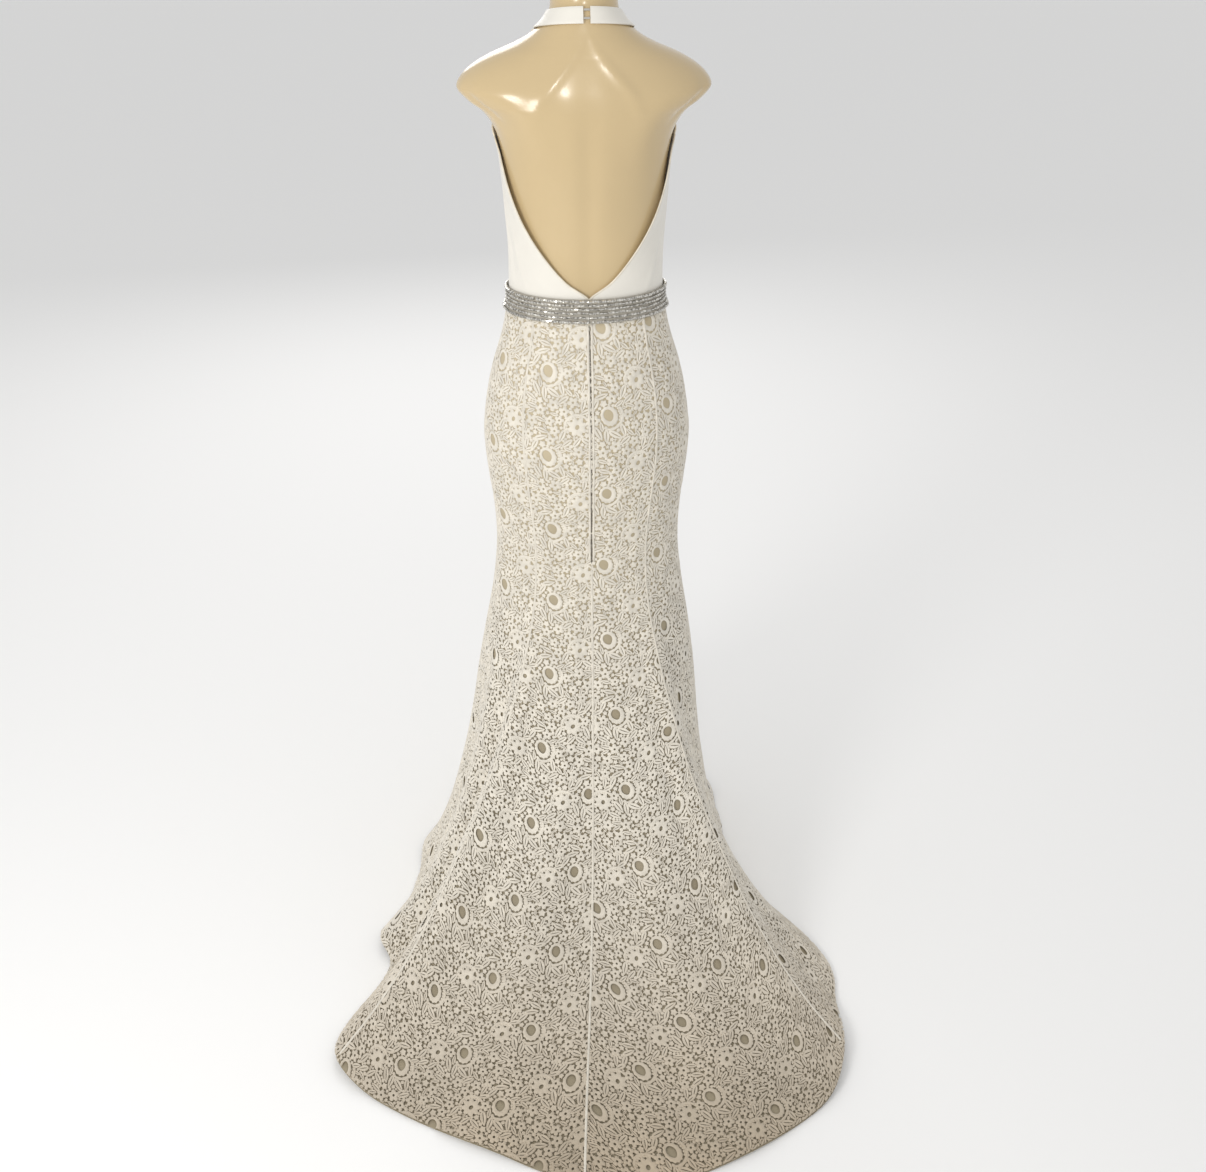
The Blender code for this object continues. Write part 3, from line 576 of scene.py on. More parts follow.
def torso_normal(surface, angle, row):
    across = surface(angle + 0.5, row) - surface(angle - 0.5, row)
    along = surface(angle, row + 0.02) - surface(angle, row - 0.02)
    normal = np.cross(along, across)
    return normal / np.linalg.norm(normal, axis=-1, keepdims=True)


def satin_surface(angle, row):
    """The torso's surface with the satin's creases in it."""
    height = crease_height(SATIN_CREASES, angle, row, 360)
    height = height * soft_step(row / 0.8) + edge_lift(angle, row)
    return torso_base(angle, row) + height[..., None] * torso_normal(torso_base, angle, row)


def edge_lift(angle, row):
    """How far the satin stands off the form beside the low back's edge."""
    away = (np.abs(wrapped(angle, 360)) - edge_angle(row)) / 9
    along = (row - 4.4) / 2.3
    return EDGE_LIFT * np.exp(-away * away) * np.clip(1 - along * along, 0, 1) ** 1.5


def torso_at(angle, row, distance, surface=torso_base):
    return surface(angle, row) + np.asarray(distance)[..., None] * torso_normal(surface, angle, row)


def edge_angle(row):
    return smooth_column(TORSO, "edge", row)


# Meshes


def grid(columns, rows):
    """A flat grid of unit cells, with x from 0 to columns and y from 0 to rows."""
    bm = bmesh.new()
    bmesh.ops.create_grid(bm, x_segments=columns, y_segments=rows, size=0.5)
    bmesh.ops.translate(bm, vec=(0.5, 0.5, 0), verts=bm.verts)
    bmesh.ops.scale(bm, vec=(columns, rows, 1), verts=bm.verts)
    return bm


def thicken(bm):
    """Turns a flat sheet at z = 0 into a closed slab that reaches z = 1."""
    made = bmesh.ops.extrude_face_region(bm, geom=bm.faces[:])
    top = [item for item in made["geom"] if isinstance(item, bmesh.types.BMVert)]
    bmesh.ops.translate(bm, vec=(0, 0, 1), verts=top)


def link(name, mesh, materials):
    """Makes an object of a mesh, with its materials, riding on the root body."""
    for material in materials:
        mesh.materials.append(material)
    made = bpy.data.objects.new(name, mesh)
    bpy.context.scene.collection.objects.link(made)
    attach(made, "root")
    return made


def mesh_from(bm, name, where=None, uv_size=None, smooth_angle=50):
    """A mesh of a bmesh, each point moved by where(x, y, z), with flat distances in metres as its UV map."""
    mesh = bpy.data.meshes.new(name)
    bm.to_mesh(mesh)
    bm.free()
    flat = np.empty(len(mesh.vertices) * 3, np.float32)
    mesh.vertices.foreach_get("co", flat)
    flat = flat.reshape(-1, 3).astype(float)
    if uv_size is not None:
        corner = np.empty(len(mesh.loops), int)
        mesh.loops.foreach_get("vertex_index", corner)
        layer = mesh.uv_layers.new(name="cloth")
        layer.data.foreach_set("uv", (flat[corner, :2] * uv_size).ravel())
    if where is not None:
        placed = where(flat[:, 0], flat[:, 1], flat[:, 2])
        mesh.vertices.foreach_set("co", placed.astype(np.float32).ravel())
    mesh.update()
    turn_outwards(mesh)
    mesh.shade_smooth()
    mesh.set_sharp_from_angle(angle=math.radians(smooth_angle))
    return mesh


def turn_outwards(mesh):
    """Flips a closed mesh whose faces point inwards."""
    bm = bmesh.new()
    bm.from_mesh(mesh)
    if bm.calc_volume(signed=True) < 0:
        bmesh.ops.reverse_faces(bm, faces=bm.faces)
        bm.to_mesh(mesh)
    bm.free()


def strip(name, points, half_width, height, normals, material, sides=6):
    """A small rounded cord or tape along a line of points, lying on a surface with those normals."""
    bm = grid(sides, len(points) - 1)
    along = np.gradient(points, axis=0)
    along = along / np.linalg.norm(along, axis=-1, keepdims=True)
    aside = np.cross(along, normals)

    def where(x, y, z):
        row = np.clip(np.round(y).astype(int), 0, len(points) - 1)
        turn = 2 * math.pi * x / sides
        out = aside[row] * (half_width * np.cos(turn))[:, None]
        up = normals[row] * (height * (0.5 + 0.5 * np.sin(turn)))[:, None]
        return points[row] + out + up

    mesh = mesh_from(bm, name, where, uv_size=(half_width * 6 / sides, 0.004))
    bm = bmesh.new()
    bm.from_mesh(mesh)
    bmesh.ops.remove_doubles(bm, verts=bm.verts, dist=1e-6)
    bmesh.ops.holes_fill(bm, edges=bm.edges)
    bmesh.ops.recalc_face_normals(bm, faces=bm.faces)
    bm.to_mesh(mesh)
    bm.free()
    mesh.shade_smooth()
    return link(name, mesh, [material])


# Materials


def new_material(name, colour, roughness, metallic=0.0):
    """A material with a Principled shader. Returns the material, its tree and the shader."""
    made = bpy.data.materials.new(name)
    made.use_nodes = True
    shader = made.node_tree.nodes["Principled BSDF"]
    shader.inputs["Base Color"].default_value = colour
    shader.inputs["Roughness"].default_value = roughness
    shader.inputs["Metallic"].default_value = metallic
    return made, made.node_tree, shader


def add_node(tree, kind, **values):
    node = tree.nodes.new(kind)
    for key, value in values.items():
        if key in node.inputs:
            node.inputs[key].default_value = value
        else:
            setattr(node, key, value)
    return node


def coordinates(tree, output):
    return add_node(tree, "ShaderNodeTexCoord").outputs[output]


def noise(tree, vector, scale, detail=2.0):
    node = add_node(tree, "ShaderNodeTexNoise", Scale=scale, Detail=detail)
    tree.links.new(vector, node.inputs["Vector"])
    return node.outputs["Fac"]


def wave(tree, vector, scale, direction):
    node = add_node(tree, "ShaderNodeTexWave", Scale=scale)
    node.bands_direction = direction
    tree.links.new(vector, node.inputs["Vector"])
    return node.outputs["Fac"]


def shade_mix(tree, factor, first, second, low=0.0, high=1.0):
    """A colour between two, by a factor that runs from low to high."""
    ramp = add_node(tree, "ShaderNodeMapRange")
    ramp.inputs["From Min"].default_value = low
    ramp.inputs["From Max"].default_value = high
    tree.links.new(factor, ramp.inputs["Value"])
    mix = add_node(tree, "ShaderNodeMix", data_type="RGBA")
    tree.links.new(ramp.outputs["Result"], mix.inputs["Factor"])
    for socket in mix.inputs:
        if socket.type == "RGBA":
            chosen = first if socket.name == "A" else second
            if isinstance(chosen, tuple):
                socket.default_value = chosen
            else:
                tree.links.new(chosen, socket)
    return [socket for socket in mix.outputs if socket.type == "RGBA"][0]


def along_axis(tree, place, axis):
    parts = add_node(tree, "ShaderNodeSeparateXYZ")
    tree.links.new(place, parts.inputs["Vector"])
    return parts.outputs[axis]


def bump(tree, shader, height, strength, distance, before=None):
    node = add_node(tree, "ShaderNodeBump", Strength=strength, Distance=distance)
    tree.links.new(height, node.inputs["Height"])
    if before is not None:
        tree.links.new(before, node.inputs["Normal"])
    tree.links.new(node.outputs["Normal"], shader.inputs["Normal"])
    return node.outputs["Normal"]


def darker(colour, share):
    return tuple(channel * share for channel in colour[:3]) + (1,)


def satin_material():
    made, tree, shader = new_material("ivory_satin", colours().satin, 0.42)
    shader.inputs["Sheen Weight"].default_value = 0.25
    shader.inputs["Specular IOR Level"].default_value = 0.45
    uv, place = coordinates(tree, "UV"), coordinates(tree, "Object")
    soft = noise(tree, place, 14.0, 3.0)
    tone = shade_mix(tree, soft, darker(colours().satin, 0.94), tuple(colours().satin), 0.3, 0.7)
    tree.links.new(tone, shader.inputs["Base Color"])
    threads = wave(tree, uv, 900.0, "X")
    first = bump(tree, shader, threads, 0.08, 0.0002)
    bump(tree, shader, noise(tree, place, 60.0), 0.10, 0.0010, first)
    return made


def lace_material():
    made, tree, shader = new_material("ivory_corded_lace", colours().lace, 0.82)
    shader.inputs["Sheen Weight"].default_value = 0.2
    place = coordinates(tree, "Object")
    patches = noise(tree, place, 55.0, 4.0)
    tone = shade_mix(tree, patches, darker(colours().lace, 0.86), tuple(colours().lace), 0.35, 0.62)
    # Painted shade: along +Y the lace is drawn darker and warmer toward the end of the train, with a little
    # random variation in that shade.
    train = along_axis(tree, place, "Y")
    painted_train_shade_deep = darker(colours().train, 0.78)
    painted_train_shade = shade_mix(tree, noise(tree, place, 4.0), tuple(colours().train), painted_train_shade_deep, 0.35, 0.65)
    tone = shade_mix(tree, train, tone, painted_train_shade, 0.22, 0.80)
    tree.links.new(tone, shader.inputs["Base Color"])
    threads = noise(tree, place, 1500.0, 2.0)
    bump(tree, shader, threads, 0.45, 0.0006)
    return made


def lining_material():
    made, tree, shader = new_material("nude_lining", colours().lining, 0.62)
    uv, place = coordinates(tree, "UV"), coordinates(tree, "Object")
    soft = noise(tree, place, 9.0, 3.0)
    tone = shade_mix(tree, soft, darker(colours().lining, 0.90), tuple(colours().lining), 0.3, 0.7)
    # Painted shade: the lining is drawn darker towards the bottom.
    low = shade_mix(tree, soft, darker(colours().lining, 0.52), darker(colours().lining, 0.62), 0.3, 0.7)
    tone = shade_mix(tree, along_axis(tree, place, "Z"), low, tone, 0.30, 0.95)
    tree.links.new(tone, shader.inputs["Base Color"])
    bump(tree, shader, wave(tree, uv, 1100.0, "DIAGONAL"), 0.12, 0.0002)
    return made


def shell_material():
    made, tree, shader = new_material("beige_form_shell", colours().shell, 0.22)
    shader.inputs["Coat Weight"].default_value = 0.35
    shader.inputs["Coat Roughness"].default_value = 0.12
    place = coordinates(tree, "Object")
    tone = shade_mix(
        tree, noise(tree, place, 5.0, 3.0), darker(colours().shell, 0.93), tuple(colours().shell), 0.3, 0.7
    )
    tree.links.new(tone, shader.inputs["Base Color"])
    bump(tree, shader, noise(tree, place, 90.0), 0.05, 0.0010)
    return made


def bead_material():
    made, tree, shader = new_material("silver_beads", colours().beads, 0.16, 0.85)
    place = coordinates(tree, "Object")
    cells = add_node(tree, "ShaderNodeTexVoronoi", Scale=240.0)
    tree.links.new(place, cells.inputs["Vector"])
    tone = shade_mix(
        tree, cells.outputs["Distance"], darker(colours().beads, 0.55), (0.86, 0.84, 0.79, 1), 0.1, 0.75
    )
    tree.links.new(tone, shader.inputs["Base Color"])
    return made


def steel_material(name, colour, roughness):
    made, tree, shader = new_material(name, colour, roughness, 1.0)
    place = coordinates(tree, "Object")
    bump(tree, shader, noise(tree, place, 400.0), 0.05, 0.0004)
    return made


def cord_material(name, colour, roughness=0.7, scale=1400.0):
    made, tree, shader = new_material(name, colour, roughness)
    place = coordinates(tree, "Object")
    tone = shade_mix(tree, noise(tree, place, 80.0), darker(colour, 0.85), colour, 0.35, 0.65)
    tree.links.new(tone, shader.inputs["Base Color"])
    bump(tree, shader, noise(tree, place, scale), 0.3, 0.0004)
    return made


# Motifs of the lace, each made flat round its own middle

Motif = namedtuple("Motif", "kind x y radius turn")

# The large motifs of one repeat, with their middles as shares of its width and height
LARGE_MOTIFS = [
    Motif("eye", 0.22, 0.20, 0.0168, 0.35),
    Motif("bloom", 0.70, 0.32, 0.0150, 2.70),
    Motif("arc", 0.22, 0.20, 0.0205, 2.60),
    Motif("arc", 0.70, 0.32, 0.0190, -1.10),
    Motif("leaf", 0.42, 0.40, 0.0130, 0.50),
    Motif("leaf", 0.28, 0.44, 0.0120, 0.05),
    Motif("leaf", 0.52, 0.50, 0.0115, 1.05),
    Motif("leaf", 0.96, 0.43, 0.0120, -0.40),
    Motif("leaf", 0.88, 0.52, 0.0110, -0.90),
    Motif("leaf", 0.46, 0.07, 0.0115, -0.55),
    Motif("leaf", 0.56, 0.14, 0.0105, -1.15),
    Motif("flower", 0.12, 0.57, 0.0100, 0.20),
    Motif("flower", 0.34, 0.64, 0.0092, 0.90),
    Motif("flower", 0.68, 0.62, 0.0100, 0.50),
    Motif("flower", 0.90, 0.70, 0.0088, 0.10),
    Motif("flower", 0.18, 0.76, 0.0086, 0.70),
    Motif("flower", 0.50, 0.78, 0.0098, 0.35),
    Motif("flower", 0.76, 0.84, 0.0084, 0.60),
    Motif("leaf", 0.30, 0.88, 0.0110, 1.30),
    Motif("leaf", 0.98, 0.88, 0.0115, 0.30),
]


def add_rings(bm, loops):
    """Walls through closed loops of points, from the first loop to the last."""
    levels, points = len(loops), len(loops[0])
    made = bmesh.ops.create_grid(bm, x_segments=points, y_segments=levels - 1, size=0.5)["verts"]
    for vert in made:
        column = round((vert.co.x + 0.5) * points) % points
        level = round((vert.co.y + 0.5) * (levels - 1))
        vert.co = loops[level][column]
    return made


def at_height(outline, height, share=1.0, narrow=1.0, shift=(0.0, 0.0)):
    """An outline moved, made smaller and set at a height."""
    return [(x * share * narrow + shift[0], y * share + shift[1], height) for x, y in outline]


def rosette(radius, petals, depth, points, start=0.0):
    """An outline of round petals."""
    outline = []
    for number in range(points):
        turn = 2 * math.pi * number / points
        reach = radius * (1 - depth + depth * abs(math.cos(petals * turn / 2 + start)) ** 0.6)
        outline.append((reach * math.cos(turn), reach * math.sin(turn)))
    return outline


def oval(half_width, half_height, points, pull=0.0):
    """An oval outline. A pull draws its top out to a point, as on a leaf."""
    outline = []
    for number in range(points):
        turn = 2 * math.pi * number / points
        x = half_width * math.cos(turn) * (1 - pull * max(math.sin(turn), 0) ** 1.5)
        outline.append((x, half_height * math.sin(turn)))
    return outline


def add_flower(bm, radius, cord):
    points = 20 if radius > 0.007 else 10
    outer = rosette(radius, 5, 0.36, points)
    hole = [(x * 0.15, y * 0.15) for x, y in rosette(radius, 5, 0.0, points)]
    crest = at_height(outer, cord * 0.95, 0.84)
    if points == 10:
        return add_rings(bm, [at_height(outer, 0), crest, at_height(outer, cord * 0.45, 0.0)])
    return add_rings(bm, [at_height(outer, 0), crest, at_height(hole, cord * 0.30, 1.3)])


def add_eye(bm, radius, cord):
    """A paisley: a scalloped ring round an open eye."""
    points = 26
    outer = [(x * 0.84, y) for x, y in rosette(radius, 13, 0.10, points)]
    rim = oval(radius * 0.66, radius * 0.80, points)
    eye = oval(radius * 0.44, radius * 0.56, points, 0.25)
    shift = (radius * 0.05, -radius * 0.09)
    loops = [at_height(outer, 0), at_height(outer, cord * 0.6, 0.93), at_height(rim, cord, 0.96)]
    loops.append(at_height(eye, 0, 1.0, 1.0, shift))
    return add_rings(bm, loops)


def add_bloom(bm, radius, cord):
    """A large open flower of eight petals."""
    outer = rosette(radius, 8, 0.26, 32)
    hole = oval(radius * 0.20, radius * 0.26, 32)
    loops = [at_height(outer, 0), at_height(outer, cord * 0.95, 0.88), at_height(hole, cord * 0.5, 1.6)]
    loops.append(at_height(hole, 0))
    return add_rings(bm, loops)


def add_arc(bm, radius, cord):
    """A crescent cord that hugs a paisley on one side."""
    turns = np.linspace(-1.25, 1.25, 12)
    loops = []
    for share, height in ((1.0, 0.0), (0.5, cord), (0.0, cord * 0.7)):
        width = 0.0026 * share * np.cos(turns / 1.35) ** 0.6 * (1 - 0.22 * np.cos(turns * 12))
        sides = []
        for sign in (1, -1):
            reaches = radius + sign * width
            sides.append([(r * math.cos(t), r * math.sin(t), height) for t, r in zip(turns, reaches)])
        loops.append(sides[0] + sides[1][::-1])
    return add_rings(bm, loops)


def add_leaf(bm, radius, cord):
    outer = oval(radius * 0.40, radius, 10, 0.6)
    loops = [at_height(outer, 0), at_height(outer, cord * 0.9, 0.84)]
    return add_rings(bm, loops + [at_height(outer, cord * 0.3, 0.70, 0.18)])


def add_dot(bm, radius, cord):
    outer = oval(radius * 1.12, radius * 0.96, 6)
    return add_rings(bm, [at_height(outer, 0), at_height(outer, cord, 0.0)])


def add_bar(bm, start, end, width, cord):
    """A thread bar from one motif to another."""
    start, end = Vector(start), Vector(end)
    aside = (end - start).normalized().cross(Vector((0, 0, 1))) * width / 2
    up = Vector((0, 0, cord * 0.45))
    made = bmesh.ops.create_grid(bm, x_segments=2, y_segments=1, size=0.5)["verts"]
    for vert in made:
        place = start if vert.co.y < 0 else end
        vert.co = place + aside * round(vert.co.x * 2) + up * (1 - abs(round(vert.co.x * 2)))


def circles_of(motif):
    """The circles that a motif keeps for itself, as x, y and radius."""
    x, y, reach, turn = motif.x, motif.y, motif.radius, motif.turn
    if motif.kind == "leaf":
        along = (-math.sin(turn), math.cos(turn))
        return [(x + along[0] * reach * s, y + along[1] * reach * s, reach * r)
                for s, r in ((-0.6, 0.28), (-0.2, 0.38), (0.2, 0.36), (0.6, 0.2))]
    if motif.kind == "arc":
        return [(x + reach * math.cos(turn + t), y + reach * math.sin(turn + t), 0.0016)
                for t in np.linspace(-1.1, 1.1, 9)]
    if motif.kind == "eye":
        aside, up = reach * 0.3 * math.sin(-turn), reach * 0.3 * math.cos(turn)
        return [(x, y, reach * 0.86), (x + aside, y + up, reach * 0.72)]
    return [(x, y, reach * 0.9)]


def lay_out_motifs(width, height):
    """The motifs of a repeat and of the next one beside it, which lies half a repeat lower."""
    random = np.random.default_rng(sizes().seed)
    placed = []
    xs, ys = np.meshgrid(np.arange(0, 2 * width, 0.0008), np.arange(0, height, 0.0008))
    clear = np.full(xs.shape, 1.0)

    def put(kind, x, y, radius, turn):
        nonlocal clear
        for step in (0, 1):
            motif = Motif(kind, x + step * width, (y + step * height / 2) % height, radius, turn)
            placed.append(motif)
            for mx, my, reach in circles_of(motif):
                away = np.hypot(wrapped(xs - mx, 2 * width), wrapped(ys - my, height)) - reach
                clear = np.minimum(clear, away)

    for motif in LARGE_MOTIFS:
        put(motif.kind, motif.x * width, motif.y * height, motif.radius, motif.turn)
    while True:
        row, column = np.unravel_index(np.argmax(clear), clear.shape)
        room = clear[row, column]
        if room < sizes().smallest_gap:
            return placed
        turn = random.uniform(-math.pi, math.pi)
        kind = "flower" if room > 0.0034 else "dot"
        radius = min(room * random.uniform(0.96, 1.08), 0.0088)
        if kind == "flower" and random.random() < 0.35:
            kind, radius = "leaf", radius * 1.5
        x, y = xs[row, column], ys[row, column]
        put(kind, x % width, (y - height / 2 * (x >= width)) % height, radius, turn)


ADDERS = {
    "eye": add_eye,
    "bloom": add_bloom,
    "arc": add_arc,
    "leaf": add_leaf,
    "flower": add_flower,
    "dot": add_dot,
}


def lace_repeat():
    """Two flat repeats of the lace as a mesh, with thread bars between neighbours."""
    random = np.random.default_rng(sizes().seed + 1)
    width, height = sizes().repeat_width, sizes().repeat_height
    placed = lay_out_motifs(width, height)
    bm = bmesh.new()
    for motif in placed:
        cord = sizes().cord_height * random.uniform(0.8, 1.15)
        made = ADDERS[motif.kind](bm, motif.radius, cord)
        place = Matrix.Translation((motif.x, motif.y, 0)) @ Matrix.Rotation(motif.turn, 4, "Z")
        bmesh.ops.transform(bm, matrix=place, verts=made)
    for number, motif in enumerate(placed):
        if motif.kind in ("eye", "arc"):
            continue
        near = []
        for other in placed[number + 1:]:
            if other.kind in ("eye", "arc"):
                continue
            dx, dy = wrapped(other.x - motif.x, 2 * width), wrapped(other.y - motif.y, height)
            near.append((math.hypot(dx, dy) - motif.radius - other.radius, dx, dy, other.radius))
        near.sort()
        for gap, dx, dy, radius in near[:2]:
            whole = math.hypot(dx, dy)
            if gap > 0.0035 or whole < 0.001:
                continue
            start, end = motif.radius * 0.5 / whole, 1 - radius * 0.5 / whole
            begin = (motif.x + dx * start, motif.y + dy * start, 0)
            add_bar(bm, begin, (motif.x + dx * end, motif.y + dy * end, 0), 0.0010, sizes().cord_height)
    bmesh.ops.remove_doubles(bm, verts=bm.verts, dist=1e-6)
    mesh = bpy.data.meshes.new("lace_repeat")
    bm.to_mesh(mesh)
    bm.free()
    return mesh


def lace_panel(name, surface, repeat, first, last, material):
    """One skirt panel of lace: repeats laid out on the flat cloth, cut at the seams and laid on the skirt."""
    cloth = PanelCloth(surface, first, last)
    width, height = 2 * sizes().repeat_width, sizes().repeat_height
    middle = (first + last) / 2
    shift = (middle * 0.37 * width) % width
    start_x = math.floor((cloth.low_x - shift) / width) * width + shift - width
    across = math.ceil((cloth.high_x - start_x) / width) + 1
    down = math.ceil(cloth.length / height) + 2
    source = bpy.data.objects.new("lace_source", repeat)
    bpy.context.scene.collection.objects.link(source)
    for count, offset in ((across, (width, 0, 0)), (down, (0, height, 0))):
        array = source.modifiers.new("repeat", "ARRAY")
        array.count = count
        array.use_relative_offset = False
        array.use_constant_offset = True
        array.constant_offset_displace = offset
    ready = source.evaluated_get(bpy.context.evaluated_depsgraph_get())
    mesh = bpy.data.meshes.new_from_object(ready)
    bpy.data.objects.remove(source)
    flat = np.empty(len(mesh.vertices) * 3, np.float32)
    mesh.vertices.foreach_get("co", flat)
    flat = flat.reshape(-1, 3).astype(float)
    column, ring, inside = cloth.place(flat[:, 0] + start_x, flat[:, 1] - height)
    lift = LACE_FLOAT * soft_step((ring - FLOAT_FIRST_RING) / (FLOAT_LAST_RING - FLOAT_FIRST_RING))
    placed = surface.at(column, ring, LACE_GROUND + lift + flat[:, 2])
    placed[:, 2] = np.maximum(placed[:, 2], LACE_GROUND + flat[:, 2])
    mesh.vertices.foreach_set("co", placed.astype(np.float32).ravel())
    mesh.update()
    bm = bmesh.new()
    bm.from_mesh(mesh)
    bm.faces.ensure_lookup_table()
    kept = [face for face in bm.faces if any(inside[vert.index] for vert in face.verts)]
    lost = set(bm.faces) - set(kept)
    bmesh.ops.delete(bm, geom=list(lost), context="FACES")
    bmesh.ops.dissolve_degenerate(bm, dist=1e-5, edges=bm.edges)
    bm.to_mesh(mesh)
    bm.free()
    mesh.materials.clear()
    mesh.name = name
    mesh.shade_smooth()
    mesh.set_sharp_from_angle(angle=math.radians(60))
    made = link(name, mesh, [material])
    return made, cloth


# Operators, one for each piece or group of like pieces


class GOWN_OT_form(bpy.types.Operator):
    """Build the smooth limbless dress form"""

    bl_idname = "gown.form"
    bl_label = "Dress Form"

    def execute(self, context):
        columns, hip_rows, torso_rows = 128, 56, 190
        low, high = 10, 8
        bm = grid(columns, low + hip_rows + torso_rows + high)
        last_row = len(TORSO) - 1

        def where(x, y, z):
            column = x / columns * ALL_COLUMNS
            y = np.round(y)
            ring = np.clip((low + hip_rows - y) / hip_rows, 0, 1) * FORM_LAST_RING
            row = np.clip((y - low - hip_rows) / torso_rows, 0, 1) * last_row
            normal = base_normal(column, ring)
            hips = skirt_base(column, ring) - FORM_CLEARANCE_HIP * normal
            angle = ellipse_angle(column_angle(column, 0 * column))
            gap = np.interp(
                row, [0, 2, NECK_SEAM_ROW - 2, NECK_SEAM_ROW - 1],
                [FORM_CLEARANCE_HIP, FORM_CLEARANCE_CHEST, FORM_CLEARANCE_CHEST, FORM_CLEARANCE_NECK],
            )
            shaped = crease_height(SHELL_FORMS, wrapped(angle, 360), row, 360)
            chest = torso_at(angle, row, shaped - gap)
            points = np.where((row > 0)[:, None], chest, hips)
            bottom = np.clip((low - y) / low, 0, 1)
            top = np.clip((y - low - hip_rows - torso_rows) / high, 0, 1)
            depth = points[:, 2].copy()
            points[:, :2] *= np.sqrt(np.maximum(1 - (bottom * 0.72) ** 2, 0))[:, None]
            points[:, 2] = np.where(bottom > 0, depth - (depth - FORM_BOTTOM_Z) * bottom, points[:, 2])
            points[:, :2] *= (1 - 0.16 * top ** 3)[:, None]
            points[:, 2] += (FORM_TOP_Z - TORSO[-1].z) * np.sin(top * math.pi / 2)
            return points

        mesh = mesh_from(bm, "form_shell", where, uv_size=(0.006, 0.006))
        bm = bmesh.new()
        bm.from_mesh(mesh)
        bmesh.ops.remove_doubles(bm, verts=bm.verts, dist=1e-6)
        bmesh.ops.holes_fill(bm, edges=bm.edges)
        bmesh.ops.recalc_face_normals(bm, faces=bm.faces)
        bm.to_mesh(mesh)
        bm.free()
        mesh.shade_smooth()
        mesh.set_sharp_from_angle(angle=math.radians(50))
        made = link("dress_form_shell", mesh, [shell_material()])
        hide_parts("form_torso")
        return {"FINISHED"}


def base_normal(column, ring):
    across = skirt_base(column + 0.1, ring) - skirt_base(column - 0.1, ring)
    along = skirt_base(column, ring + 0.02) - skirt_base(column, ring - 0.02)
    normal = np.cross(across, along)
    return normal / np.linalg.norm(normal, axis=-1, keepdims=True)


def ellipse_angle(angle):
    """The waist ellipse's own angle for a polar angle, both in degrees."""
    turn = np.radians(angle)
    depth = np.where(np.cos(turn) > 0, TORSO[0].back, TORSO[0].front)
    return np.degrees(np.arctan2(np.sin(turn) / TORSO[0].side, np.cos(turn) / depth))


def coat_node(node, material):
    """Gives a kept CAD node a better material, with its mesh unchanged."""
    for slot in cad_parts[node].material_slots:
        slot.material = material


class GOWN_OT_stand(bpy.types.Operator):
    """Give the stand's pole and base their brushed steel"""

    bl_idname = "gown.stand"
    bl_label = "Stand"

    def execute(self, context):
        steel = steel_material("brushed_stand_steel", (0.62, 0.62, 0.63, 1), 0.28)
        for node in ("form_pole", "form_base"):
            coat_node(node, steel)
        return {"FINISHED"}


class GOWN_OT_lining(bpy.types.Operator):
    """Build the nude lining under the lace"""

    bl_idname = "gown.lining"
    bl_label = "Lining"

    def execute(self, context):
        surface = SkirtSurface()
        material = lining_material()
        panels = [
            ("lining_back_left", 0, SIDE_SEAM),
            ("lining_front", SIDE_SEAM, ALL_COLUMNS - SIDE_SEAM),
            ("lining_back_right", ALL_COLUMNS - SIDE_SEAM, ALL_COLUMNS),
        ]
        for name, first, last in panels:
            fine = 4
            bm = grid((last - first) * fine, LAST_RING * fine)
            thicken(bm)

            def where(x, y, z):
                column = first + x / fine
                return surface.at(column, y / fine, between(z, LINING_INNER, LINING_OUTER))

            cloth = PanelCloth(surface, first, last)
            made = link(f"nude_{name}", mesh_from(bm, name, where, uv_size=(0.008, 0.02)), [material])
            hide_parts(name)
        return {"FINISHED"}


class GOWN_OT_lace(bpy.types.Operator):
    """Build the seven panels of corded lace"""

    bl_idname = "gown.lace"
    bl_label = "Lace Skirt"

    def execute(self, context):
        surface = SkirtSurface()
        material = lace_material()
        repeat = lace_repeat()
        seams = [0, BACK_SEAM, SIDE_SEAM, FRONT_SEAM]
        names = ["lace_back", "lace_side_back", "lace_side_front"]
        panels = [("lace_front", FRONT_SEAM, ALL_COLUMNS - FRONT_SEAM)]
        for name, first, last in zip(names, seams, seams[1:]):
            panels.append((f"{name}_left", first, last))
            panels.append((f"{name}_right", ALL_COLUMNS - last, ALL_COLUMNS - first))
        for name, first, last in panels:
            made, cloth = lace_panel(f"corded_{name}", surface, repeat, first, last, material)
            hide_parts(name)
        seam_material = cord_material("lace_seam_tape", darker(colours().lace, 0.97), 0.8)
        rings = np.arange(0.3, LAST_RING - 0.05, 0.125)
        for column, first_ring in (
            (0, ZIP_LAST_RING), (BACK_SEAM, 0.3), (-BACK_SEAM, 0.3), (SIDE_SEAM, 0.3), (-SIDE_SEAM, 0.3),
            (FRONT_SEAM, 0.3), (-FRONT_SEAM, 0.3),
        ):
            line = rings[rings >= first_ring]
            lift = LACE_FLOAT * soft_step((line - FLOAT_FIRST_RING) / (FLOAT_LAST_RING - FLOAT_FIRST_RING))
            points = surface.at(0 * line + column, line, LACE_GROUND + lift - 0.0004)
            out = surface.at(0 * line + column, line, LACE_GROUND + lift + 0.01) - points
            normals = out / np.linalg.norm(out, axis=-1, keepdims=True)
            strip(f"seam_tape_{column}", points, 0.0020, 0.0022, normals, seam_material)
        return {"FINISHED"}


